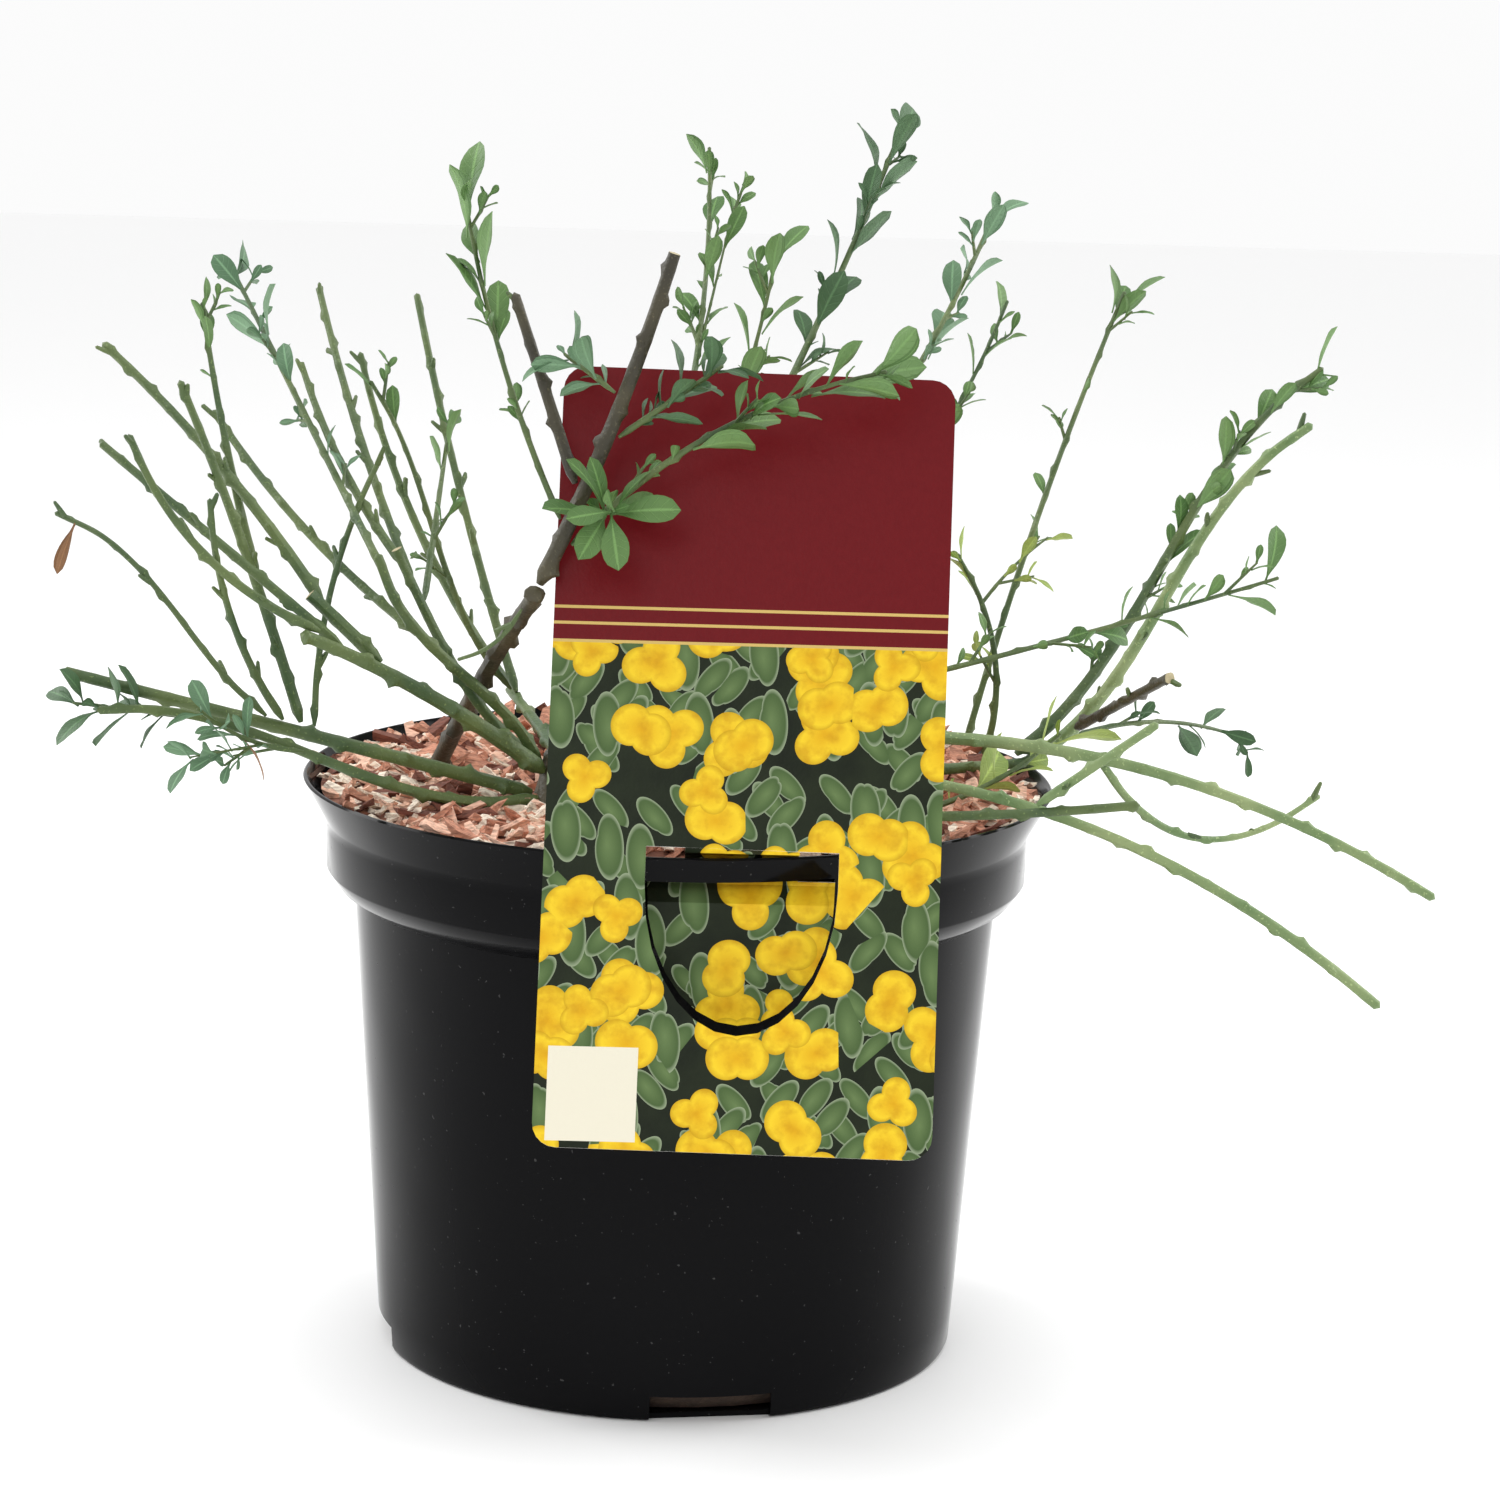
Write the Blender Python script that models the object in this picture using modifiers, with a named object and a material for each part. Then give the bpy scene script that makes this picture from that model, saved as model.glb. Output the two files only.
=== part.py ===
"""A prostrate broom in a black two-litre nursery pot, with wood-chip mulch and a hanging card label.

Sizes in the constants and tables are millimetres and degrees. MM turns a size into Blender's metres.
+Z is up, the pot stands on z = 0 with its axis at the origin, and the label hangs on the -Y side.
Headings are degrees round the vertical: 0 is +X, 90 is +Y, the back, and -90 is the front.
"""

import math
import random

import bmesh
import bpy
from mathutils import Matrix, Vector
from mathutils.geometry import intersect_point_line

MM = 0.001
CLEAR = 0.3

# The pot: a flared lip over a straight collar, then a wall that tapers to the foot.
POT_HEIGHT = 131.0
LIP_RADIUS = 85.0
COLLAR_RADIUS = 79.6
COLLAR_TOP = 121.3
COLLAR_FOOT = 110.0
SHOULDER_RADIUS = 77.0
SHOULDER_HEIGHT = 106.5
WALL_TOP_RADIUS = 73.0
WALL_TOP = 104.5
FOOT_RADIUS = 66.2
FOOT_EDGE = 1.6
WALL = 1.2
POT_STEPS = 64

# What the label hangs from: a slot under the lip, turned a little from the front, as the foot is.
POT_TURN = 9.4
SLOT_HALF_WIDTH = 21.0
SLOT_BOTTOM = 119.5
SLOT_TOP = 125.2

# Four drainage recesses in the foot's edge, wider at the bottom.
RECESS_COUNT = 4
RECESS_WIDTH = 27.0
RECESS_TOP_WIDTH = 23.0
RECESS_HEIGHT = 6.0
RECESS_DEPTH = 4.0

# The fill: potting mix, and a layer of wood chips that is a little higher in the middle.
MULCH_EDGE = 128.5
MULCH_RISE = 1.5
MULCH_BOTTOM = 108.0
FILL_STEPS = 48

# The label leans back over the lip. Lengths up and down are from the height of the lip.
LABEL_WIDTH = 83.0
LABEL_UP = 104.0
LABEL_DOWN = 61.0
LABEL_THICK = 0.7
LABEL_CORNER = 5.0
LABEL_LEAN = 19.0
LABEL_TURN = 0.75
LABEL_X = 13.8
LABEL_Y = -85.9
TONGUE_THICK = 0.6
TONGUE_WIDTH = 40.4
TONGUE_NECK_WIDTH = 24.0
TONGUE_DOWN = 36.6
TONGUE_TOP = 2.4
TONGUE_STRAIGHT = 5.6
KERF = 0.3

# The woody crown that the boughs grow from, behind the label.
CROWN_X = -22.0
CROWN_Y = -28.0
CROWN_HEIGHT = 13.0
CROWN_FLARE_RADIUS = 11.0
CROWN_RADIUS = 8.0
CROWN_STEPS = 16
CROWN_TOP_RING = 5.0

# Boughs and canes are tubes that taper from a narrow heel.
CANE_STEP = 10.0
HEEL_LENGTH = 2.5
HEEL_SHARE = 0.45
TIP_SHARE = 0.72
TWIG_TIP_SHARE = 0.5

# Leaves: spoon-shaped blades, set round a twig by the golden angle.
GOLDEN_ANGLE = 137.5
LEAF_WIDTH_SHARE = 0.34
LEAF_WIDEST = 0.6
LEAF_THICK_SHARE = 0.035
LEAF_ROOT_SINK = 0.7


def material(name, colour, roughness, metallic=0.0):
    made = bpy.data.materials.new(name)
    made.use_nodes = True
    shader = made.node_tree.nodes["Principled BSDF"]
    shader.inputs["Base Color"].default_value = (*colour, 1.0)
    shader.inputs["Roughness"].default_value = roughness
    shader.inputs["Metallic"].default_value = metallic
    return made


def collection(name):
    made = bpy.data.collections.new(name)
    bpy.context.scene.collection.children.link(made)
    return made


def new_object(name, data, where, finish=None):
    made = bpy.data.objects.new(name, data)
    where.objects.link(made)
    if finish:
        data.materials.append(finish)
    return made


def remove_object(obj):
    data = obj.data
    bpy.data.objects.remove(obj)
    if isinstance(data, bpy.types.Mesh):
        bpy.data.meshes.remove(data)
    else:
        bpy.data.curves.remove(data)


def smooth(obj, angle=40.0):
    obj.data.shade_smooth()
    obj.data.set_sharp_from_angle(angle=math.radians(angle))


def as_mesh(obj, weld=True):
    """The evaluated object as a mesh object in its place, with its points welded where that is asked."""
    bpy.context.view_layer.update()
    graph = bpy.context.evaluated_depsgraph_get()
    mesh = bpy.data.meshes.new_from_object(obj.evaluated_get(graph), depsgraph=graph)
    body = bmesh.new()
    body.from_mesh(mesh)
    if weld:
        bmesh.ops.remove_doubles(body, verts=body.verts, dist=0.001 * MM)
    bmesh.ops.recalc_face_normals(body, faces=body.faces)
    body.to_mesh(mesh)
    body.free()
    name = obj.name
    where = obj.users_collection[0]
    place = obj.matrix_world.copy()
    remove_object(obj)
    made = bpy.data.objects.new(name, mesh)
    where.objects.link(made)
    made.matrix_world = place
    return made


def turned(name, profile, steps, finish, where):
    """A turned solid. The profile runs down its outer side, from the axis back to the axis."""
    mesh = bpy.data.meshes.new(name)
    points = [(radius * MM, 0.0, height * MM) for radius, height in profile]
    edges = [(i, i + 1) for i in range(len(points) - 1)]
    mesh.from_pydata(points, edges, [])
    made = new_object(name, mesh, where, finish)
    screw = made.modifiers.new("Turn", "SCREW")
    screw.steps = steps
    screw.render_steps = steps
    screw.use_merge_vertices = True
    screw.merge_threshold = 0.00001
    return made


def flat_solid(name, outlines, depth, where, finish=None):
    """A plate of the given depth in the XY plane, from closed outlines. An inner outline is a hole."""
    curve = bpy.data.curves.new(name, "CURVE")
    curve.dimensions = "2D"
    curve.fill_mode = "BOTH"
    curve.extrude = depth / 2 * MM
    for outline in outlines:
        spline = curve.splines.new("POLY")
        spline.points.add(len(outline) - 1)
        for point, (x, y) in zip(spline.points, outline):
            point.co = (x * MM, y * MM, 0.0, 1.0)
        spline.use_cyclic_u = True
    return new_object(name, curve, where, finish)


def cut(obj, cutter, operation="DIFFERENCE"):
    cutter.hide_render = True
    cutter.display_type = "WIRE"
    boolean = obj.modifiers.new(operation.title(), "BOOLEAN")
    boolean.operation = operation
    boolean.object = cutter


def arc(x, y, radius, start, end, count):
    angles = [math.radians(start + (end - start) * i / count) for i in range(count + 1)]
    return [(x + radius * math.cos(a), y + radius * math.sin(a)) for a in angles]


# The pot and what fills it.


def inner_radius(height):
    """The radius of the inside of the pot's wall at a height."""
    lip_share = (height - COLLAR_TOP) / (POT_HEIGHT - COLLAR_TOP)
    if lip_share > 0:
        return COLLAR_RADIUS + (LIP_RADIUS - COLLAR_RADIUS) * lip_share - WALL
    if height > COLLAR_FOOT:
        return COLLAR_RADIUS - WALL
    wall_share = height / WALL_TOP
    return FOOT_RADIUS + (WALL_TOP_RADIUS - FOOT_RADIUS) * wall_share - WALL


def mulch_top(radius):
    return MULCH_EDGE + MULCH_RISE * (1 - (radius / LIP_RADIUS) ** 2)


def pot_cutter_place(obj, heading, radius, height):
    """Stands a plate up so that its own X runs along the rim and its depth through the wall."""
    out = Matrix.Rotation(math.radians(heading + 90), 4, "Z")
    obj.matrix_world = (
        out @ Matrix.Translation((0, -radius * MM, height * MM)) @ Matrix.Rotation(math.radians(90), 4, "X")
    )


def slot_cutter(depth, radius, where):
    half = SLOT_HALF_WIDTH
    height = SLOT_TOP - SLOT_BOTTOM
    outline = [(-half, 0), (half, 0), (half, height), (-half, height)]
    made = as_mesh(flat_solid("label_slot_cutter", [outline], depth, where))
    pot_cutter_place(made, POT_TURN - 90, radius, SLOT_BOTTOM)
    return made


def build_pot(parts, cutters, finish):
    edge = 0.4
    profile = [
        (0, WALL),
        (FOOT_RADIUS - WALL - FOOT_EDGE, WALL),
        (FOOT_RADIUS - WALL, WALL + FOOT_EDGE),
        (WALL_TOP_RADIUS - WALL, WALL_TOP + 0.4),
        (SHOULDER_RADIUS - WALL, SHOULDER_HEIGHT + 0.7),
        (COLLAR_RADIUS - WALL, COLLAR_FOOT + 0.6),
        (COLLAR_RADIUS - WALL, COLLAR_TOP),
        (LIP_RADIUS - WALL, POT_HEIGHT - edge),
        (LIP_RADIUS - WALL + edge, POT_HEIGHT),
        (LIP_RADIUS - edge, POT_HEIGHT),
        (LIP_RADIUS, POT_HEIGHT - edge),
        (COLLAR_RADIUS + 0.6, COLLAR_TOP + 0.6),
        (COLLAR_RADIUS, COLLAR_TOP - 0.4),
        (COLLAR_RADIUS, COLLAR_FOOT),
        (SHOULDER_RADIUS, SHOULDER_HEIGHT),
        (WALL_TOP_RADIUS, WALL_TOP),
        (FOOT_RADIUS, FOOT_EDGE),
        (FOOT_RADIUS - FOOT_EDGE, 0),
        (0, 0),
    ]
    pot = as_mesh(turned("pot", profile, POT_STEPS, finish, parts))
    cut(pot, slot_cutter(14.0, LIP_RADIUS - 3, cutters))
    for index in range(RECESS_COUNT):
        half, top = RECESS_WIDTH / 2, RECESS_TOP_WIDTH / 2
        outline = [(-half, -1.0), (half, -1.0), (top, RECESS_HEIGHT), (-top, RECESS_HEIGHT)]
        cutter = as_mesh(flat_solid(f"recess_cutter_{index}", [outline], 2 * RECESS_DEPTH, cutters))
        pot_cutter_place(cutter, POT_TURN - 90 + 90 * index, FOOT_RADIUS, 0.0)
        cut(pot, cutter)
    smooth(pot)
    return pot


def build_fill(parts, cutters, mix_finish, chip_finish):
    floor = RECESS_HEIGHT + 1.0
    mix_edge = inner_radius(floor) - CLEAR
    mix_profile = [
        (0, MULCH_BOTTOM - CLEAR),
        (inner_radius(WALL_TOP) - CLEAR - 0.2, MULCH_BOTTOM - CLEAR),
        (inner_radius(WALL_TOP) - CLEAR - 0.2, WALL_TOP - 1),
        (mix_edge, floor),
        (FOOT_RADIUS - RECESS_DEPTH - CLEAR, WALL + CLEAR + FOOT_EDGE),
        (FOOT_RADIUS - RECESS_DEPTH - CLEAR - FOOT_EDGE, WALL + CLEAR),
        (0, WALL + CLEAR),
    ]
    turned("potting_mix", mix_profile, FILL_STEPS, mix_finish, parts)
    edge_radius = inner_radius(MULCH_EDGE) - CLEAR
    rings = [edge_radius * share for share in (0, 0.3, 0.6, 0.85, 1)]
    # The sides of a many-sided ring stand inside its circle, so the fill keeps a little more room.
    facet = 1 / math.cos(math.pi / POT_STEPS)
    chip_profile = [(radius, mulch_top(radius)) for radius in rings[:-1]]
    chip_profile += [
        (edge_radius / facet, MULCH_EDGE),
        ((inner_radius(COLLAR_TOP) - CLEAR) / facet, COLLAR_TOP),
        ((inner_radius(COLLAR_TOP) - CLEAR) / facet, COLLAR_FOOT + 0.8),
        ((inner_radius(WALL_TOP) - CLEAR) / facet, MULCH_BOTTOM),
        (0, MULCH_BOTTOM),
    ]
    mulch = as_mesh(turned("wood_mulch", chip_profile, FILL_STEPS, chip_finish, parts))
    # Room for the label's tongue between the chips and the lip.
    half = SLOT_HALF_WIDTH + 1
    outline = [(-half, 0), (half, 0), (half, 20), (-half, 20)]
    room = as_mesh(flat_solid("tongue_room_cutter", [outline], 23.0, cutters))
    pot_cutter_place(room, POT_TURN - 90, 83.6, SLOT_BOTTOM - 1)
    cut(mulch, room)


# The label.


def tongue_outline(half, neck_half, straight_end, down, top):
    """The outline of a tongue that hangs down, drawn with up as +Y."""
    outline = [(neck_half, top), (-neck_half, top)]
    if neck_half < half:
        outline += [(-neck_half, SLOT_TOP - POT_HEIGHT - 0.6), (-half, SLOT_TOP - POT_HEIGHT - 0.6)]
    outline += [(-half, -straight_end)]
    bend = [math.radians(180 + 180 * i / 14) for i in range(1, 14)]
    drop = down - straight_end
    outline += [(half * math.cos(a), -straight_end + drop * math.sin(a)) for a in bend]
    outline += [(half, -straight_end)]
    if neck_half < half:
        outline += [(half, SLOT_TOP - POT_HEIGHT - 0.6), (neck_half, SLOT_TOP - POT_HEIGHT - 0.6)]
    return outline


def band(path, half):
    """The outline of a band along a path, half this wide on each side."""
    left, right = [], []
    for i, (x, y) in enumerate(path):
        before, after = path[max(0, i - 1)], path[min(len(path) - 1, i + 1)]
        run = math.hypot(after[0] - before[0], after[1] - before[1])
        across = (-(after[1] - before[1]) / run, (after[0] - before[0]) / run)
        left.append((x + across[0] * half, y + across[1] * half))
        right.append((x - across[0] * half, y - across[1] * half))
    return left + right[::-1]


def label_frame():
    """The label's own frame: X across, Y up the card, at the height of the lip."""
    upright = Matrix.Rotation(math.radians(90 - LABEL_LEAN), 4, "X")
    turn = Matrix.Rotation(math.radians(-LABEL_TURN), 4, "Z")
    return Matrix.Translation((LABEL_X * MM, LABEL_Y * MM, POT_HEIGHT * MM)) @ upright @ turn


def build_label(parts, cutters, finish):
    half, up, down, corner = LABEL_WIDTH / 2, LABEL_UP, -LABEL_DOWN, LABEL_CORNER
    outline = []
    for x, y, start in (
        (half - corner, up - corner, 0),
        (corner - half, up - corner, 90),
        (corner - half, down + corner, 180),
        (half - corner, down + corner, 270),
    ):
        outline += arc(x, y, corner, start, start + 90, 5)
    opening = tongue_outline(TONGUE_WIDTH / 2, TONGUE_WIDTH / 2, TONGUE_STRAIGHT, TONGUE_DOWN, TONGUE_TOP)
    card = flat_solid("plant_label", [outline, opening], LABEL_THICK, parts)
    card.matrix_world = label_frame()
    card = as_mesh(card)

    # The tongue's side view: back over the lip, down behind it and out through the slot.
    side = [
        (LABEL_Y + 1.27, POT_HEIGHT + 3.7),
        (LABEL_Y + 0.86, POT_HEIGHT + 2.5),
        (LABEL_Y + 1.9, POT_HEIGHT + 1.4),
        (-79.0, POT_HEIGHT + 0.8),
        (-77.4, POT_HEIGHT - 0.6),
        (-75.4, SLOT_TOP + 0.2),
        (-76.2, SLOT_TOP - 1.6),
        (-80.9, SLOT_BOTTOM + 1.0),
        (-81.9, SLOT_BOTTOM - 2.5),
        (-82.9, POT_HEIGHT - 42),
    ]
    strip = as_mesh(flat_solid("tongue_strip", [band(side, TONGUE_THICK / 2)], TONGUE_WIDTH + 6, cutters))
    strip.matrix_world = Matrix.Translation((LABEL_X * MM, 0, 0)) @ Matrix(
        ((0, 0, 1, 0), (1, 0, 0, 0), (0, 1, 0, 0), (0, 0, 0, 1))
    )
    shape = tongue_outline(
        TONGUE_WIDTH / 2 - KERF, TONGUE_NECK_WIDTH / 2, TONGUE_STRAIGHT + 1, TONGUE_DOWN - KERF, TONGUE_TOP + 1.4
    )
    prism = as_mesh(flat_solid("tongue_shape_cutter", [shape], 20.0, cutters))
    prism.matrix_world = Matrix.Translation((LABEL_X * MM, -81 * MM, POT_HEIGHT * MM)) @ Matrix.Rotation(
        math.radians(90), 4, "X"
    )
    cut(strip, prism, "INTERSECT")
    tongue = as_mesh(strip)
    cut(card, tongue, "UNION")
    return card


# Boughs and canes.


def polar(heading, reach, height=0.0):
    """A place seen from the crown: its heading, its level reach, and its height above the table."""
    angle = math.radians(heading)
    return Vector((CROWN_X + reach * math.cos(angle), CROWN_Y + reach * math.sin(angle), height))


def bowed_path(foot, tip, bow, sway, shift):
    """Points from foot to tip, bowed up and sideways. The shift moves the bow towards the foot."""
    chord = tip - foot
    level = Vector((chord.x, chord.y, 0)).normalized()
    side = Vector((-level.y, level.x, 0))
    up = chord.cross(side).normalized()
    if up.z < 0:
        up = -up
    count = max(4, round(chord.length / CANE_STEP))
    points = []
    for i in range(count + 1):
        t = i / count
        swell = 4 * t * (1 - t)
        points.append(foot + chord * t + up * swell * (bow + shift * (1 - 2 * t)) + side * swell * sway)
    heel = points[0].lerp(points[1], HEEL_LENGTH / (points[1] - points[0]).length)
    return [points[0], heel] + points[1:]


def tapered(points, thick, tip_share):
    """Radii along the points, from a narrow heel and then an even taper."""
    lengths = [0.0]
    for a, b in zip(points, points[1:]):
        lengths.append(lengths[-1] + (b - a).length)
    radii = [thick / 2 * (1 - (1 - tip_share) * length / lengths[-1]) for length in lengths]
    radii[0] *= HEEL_SHARE
    return radii


def gap_between(points, radii, others, other_radii):
    """The least room between two limbs, from their middle lines and radii."""
    least = 1e9
    for point, radius in zip(points, radii):
        for i in range(len(others) - 1):
            near, share = intersect_point_line(point, others[i], others[i + 1])
            share = min(1.0, max(0.0, share))
            near = others[i].lerp(others[i + 1], share)
            reach = other_radii[i] + (other_radii[i + 1] - other_radii[i]) * share
            least = min(least, (point - near).length - radius - reach)
    return least


def along(points, share):
    """The point at a share of a path's length, and the direction there."""
    total = sum((b - a).length for a, b in zip(points, points[1:]))
    left = share * total
    for a, b in zip(points, points[1:]):
        step = (b - a).length
        if left <= step or b is points[-1]:
            return a.lerp(b, min(1.0, left / step)), (b - a).normalized()
        left -= step


def subdivided(points, radii, count=3):
    """The same limb with more stations, for measuring the room beside it."""
    fine, fine_radii = [], []
    for i in range(len(points) - 1):
        for k in range(count):
            fine.append(points[i].lerp(points[i + 1], k / count))
            fine_radii.append(radii[i] + (radii[i + 1] - radii[i]) * k / count)
    return fine + [points[-1]], fine_radii + [radii[-1]]


class Plant:
    """The limbs made so far, by name, as (points, radii) in millimetres."""

    def __init__(self):
        self.limbs = {}

    def crown_foot(self, heading, level):
        """A foot on the crown: on its side at a level above the mulch, or on top where level is None."""
        if level is None:
            foot = polar(heading, CROWN_TOP_RING)
            foot.z = crown_base() + CROWN_HEIGHT + CLEAR
            return foot
        radius = crown_radius(level)
        foot = polar(heading, radius + CLEAR + 0.2)
        foot.z = crown_base() + level
        return foot

    def grow(self, name, heading, reach, height, thick, tip_share=TIP_SHARE, **how):
        """Works out a limb's points and radii. It starts on the crown, on a limb or on the mulch."""
        tip = polar(heading, reach, height)
        bend = (how.get("bow", 0.0), how.get("sway", 0.0), how.get("shift", 0.0))
        if "on" in how:
            points = self.shoot_path(how["on"], how["at"], tip, thick, tip_share, bend)
        elif "from_mulch" in how:
            foot = polar(*how["from_mulch"])
            lean = (tip - foot).normalized()
            drop = thick / 2 * HEEL_SHARE * math.sqrt(1 - lean.z**2)
            foot.z = mulch_top(math.hypot(foot.x, foot.y)) + CLEAR + drop
            points = bowed_path(foot, tip, *bend)
        else:
            foot = self.crown_foot(how.get("leaves_at", heading), how.get("level"))
            points = bowed_path(foot, tip, *bend)
        self.limbs[name] = (points, tapered(points, thick, tip_share))

    def fork(self, name, parent, twig):
        """Works out a side twig of a spray. It starts at its stem's middle line, to be fused there."""
        points, radii = self.limbs[parent]
        foot, _ = along(points, twig["at"])
        tip = polar(twig["heading"], twig["reach"], twig["height"])
        path = bowed_path(foot, tip, twig.get("bow", 0.0), 0.0, 0.0)
        thick = 1.5 * radii[-1] + 0.2
        self.limbs[name] = (path, [thick / 2] + tapered(path, thick, TWIG_TIP_SHARE)[1:])

    def shoot_path(self, parent, at, tip, thick, tip_share, bend):
        """A shoot's points. It stands off its parent just far enough to be clear of it."""
        parent_points, parent_radii = self.limbs[parent]
        middle, direction = along(parent_points, at)
        out = tip - middle
        out = (out - direction * out.dot(direction)).normalized()
        stand = parent_radii[-1] * 0.8 + CLEAR
        while True:
            points = bowed_path(middle + out * stand, tip, *bend)
            radii = tapered(points, thick, tip_share)
            fine = subdivided(points[:4], radii[:4])
            if gap_between(*fine, parent_points, parent_radii) >= CLEAR:
                return points
            stand += 0.05


def crown_base():
    return mulch_top(math.hypot(CROWN_X, CROWN_Y)) + CLEAR


def crown_radius(level):
    share = min(1.0, level / CROWN_HEIGHT)
    return CROWN_RADIUS + (CROWN_FLARE_RADIUS - CROWN_RADIUS) * (1 - share) ** 2


def build_crown(parts, finish):
    """The short woody stem: a flat cut at the mulch, a root flare, and a domed top."""
    base = crown_base()
    levels = [i / 5 * (CROWN_HEIGHT - 2) for i in range(6)]
    profile = [(0, base + CROWN_HEIGHT), (CROWN_RADIUS - 1.5, base + CROWN_HEIGHT)]
    profile += [(crown_radius(level), base + level) for level in reversed(levels)]
    profile += [(0, base)]
    crown = turned("crown_stem", profile, CROWN_STEPS, finish, parts)
    crown.location = (CROWN_X * MM, CROWN_Y * MM, 0)


def tube(name, points, radii, sides_resolution, where, finish=None):
    curve = bpy.data.curves.new(name, "CURVE")
    curve.dimensions = "3D"
    curve.bevel_depth = MM
    curve.bevel_resolution = sides_resolution
    curve.use_fill_caps = True
    spline = curve.splines.new("POLY")
    spline.points.add(len(points) - 1)
    for station, point, radius in zip(spline.points, points, radii):
        station.co = (*(point * MM), 1.0)
        station.radius = radius
    return new_object(name, curve, where, finish)


# Masses of leaves.


def leaf_turns(points, count, first, last, spread, lengths, dice):
    """Leaf places by rule: up the twig, turned by the golden angle, each a little off it by chance."""
    start = dice.uniform(0, 360)
    for i in range(count):
        share = first + (last - first) * (i / max(1, count - 1))
        yield {
            "share": min(0.985, share + dice.uniform(-0.012, 0.012)),
            "turn": start + GOLDEN_ANGLE * i + dice.uniform(-18, 18),
            "spread": spread * dice.uniform(0.75, 1.2),
            "length": dice.uniform(*lengths),
            "roll": dice.uniform(-50, 50),
        }


def leaf_axes(direction, turn, spread, roll):
    """The way a leaf points and the way across its blade, from its twig's direction."""
    level = direction.cross(Vector((0, 0, 1)))
    level = level.normalized() if level.length > 0.05 else Vector((1, 0, 0))
    other = direction.cross(level)
    out = level * math.cos(math.radians(turn)) + other * math.sin(math.radians(turn))
    lean = math.radians(spread)
    points_to = (direction * math.cos(lean) + out * math.sin(lean) + Vector((0, 0, 0.12))).normalized()
    across = points_to.cross(out).normalized()
    across.rotate(Matrix.Rotation(math.radians(roll), 3, points_to))
    return points_to, across


def leaf_solid(name, root, points_to, across, length, where):
    """A blade of eight faces, widest past its middle, with its root at the twig's middle line."""
    body = bmesh.new()
    bmesh.ops.create_uvsphere(body, u_segments=4, v_segments=2, radius=1.0)
    for vert in body.verts:
        height = 0.0 if vert.co.z < -0.5 else LEAF_WIDEST if vert.co.z < 0.5 else 1.0
        vert.co.x *= length * LEAF_WIDTH_SHARE / 2
        vert.co.y *= length * LEAF_THICK_SHARE / 2
        vert.co.z = height * length
    mesh = bpy.data.meshes.new(name)
    body.to_mesh(mesh)
    body.free()
    made = new_object(name, mesh, where)
    turn = Matrix((across, points_to.cross(across), points_to)).transposed().to_4x4()
    made.matrix_world = Matrix.Translation(root * MM) @ turn @ Matrix.Scale(MM, 4)
    return made


def leaf_stations(root, points_to, length):
    """Points along a leaf with its half width there."""
    for share in (0.2, 0.4, 0.6, 0.8, 1.0):
        widen = share / LEAF_WIDEST if share < LEAF_WIDEST else (1 - share) / (1 - LEAF_WIDEST)
        yield root + points_to * length * share, length * LEAF_WIDTH_SHARE / 2 * widen


def clear_of_pot(point, half):
    """Whether a point with this much round it is clear of the pot and the mulch."""
    radius = math.hypot(point.x, point.y)
    if radius < LIP_RADIUS + half + CLEAR:
        return point.z > POT_HEIGHT + half + CLEAR
    return True


def clear_of_label(point, half, into_label):
    place = into_label @ (point * MM) / MM
    across = abs(place.x) - LABEL_WIDTH / 2
    up = max(place.y - LABEL_UP, -LABEL_DOWN - place.y)
    return max(across, up, abs(place.z) - LABEL_THICK / 2) > half + CLEAR


class LeafRoom:
    """What the leaves have to keep clear of: the limbs, the pot, the label and the other masses."""

    def __init__(self, limbs):
        self.limbs = limbs
        self.leaves = {}
        self.into_label = label_frame().inverted()

    def holds(self, owner, root, points_to, length):
        for point, half in leaf_stations(root, points_to, length):
            if not clear_of_pot(point, half) or not clear_of_label(point, half, self.into_label):
                return False
            for name, (points, radii) in self.limbs.items():
                if not name.startswith(owner) and gap_between([point], [half], points, radii) < CLEAR:
                    return False
            for name, stations in self.leaves.items():
                if name == owner:
                    continue
                if any((point - other).length < half + other_half + CLEAR for other, other_half in stations):
                    return False
        return True

    def take(self, owner, root, points_to, length):
        self.leaves.setdefault(owner, []).extend(leaf_stations(root, points_to, length))


def joined(stem, pieces):
    """The stem's mesh with every object of the collection fused on, and any loose scrap dropped."""
    union = stem.modifiers.new("Fuse", "BOOLEAN")
    union.operation = "UNION"
    union.operand_type = "COLLECTION"
    union.solver = "MANIFOLD"
    union.collection = pieces
    made = as_mesh(stem, weld=False)
    for obj in list(pieces.objects):
        remove_object(obj)
    bpy.data.collections.remove(pieces)
    body = bmesh.new()
    body.from_mesh(made.data)
    islands, seen = [], set()
    for start in body.verts:
        if start in seen:
            continue
        island, front = {start}, [start]
        while front:
            for edge in front.pop().link_edges:
                for vert in edge.verts:
                    if vert not in island:
                        island.add(vert)
                        front.append(vert)
        seen |= island
        islands.append(island)
    islands.sort(key=len)
    for scrap in islands[:-1]:
        bmesh.ops.delete(body, geom=list(scrap), context="VERTS")
    body.to_mesh(made.data)
    body.free()
    return made


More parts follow.
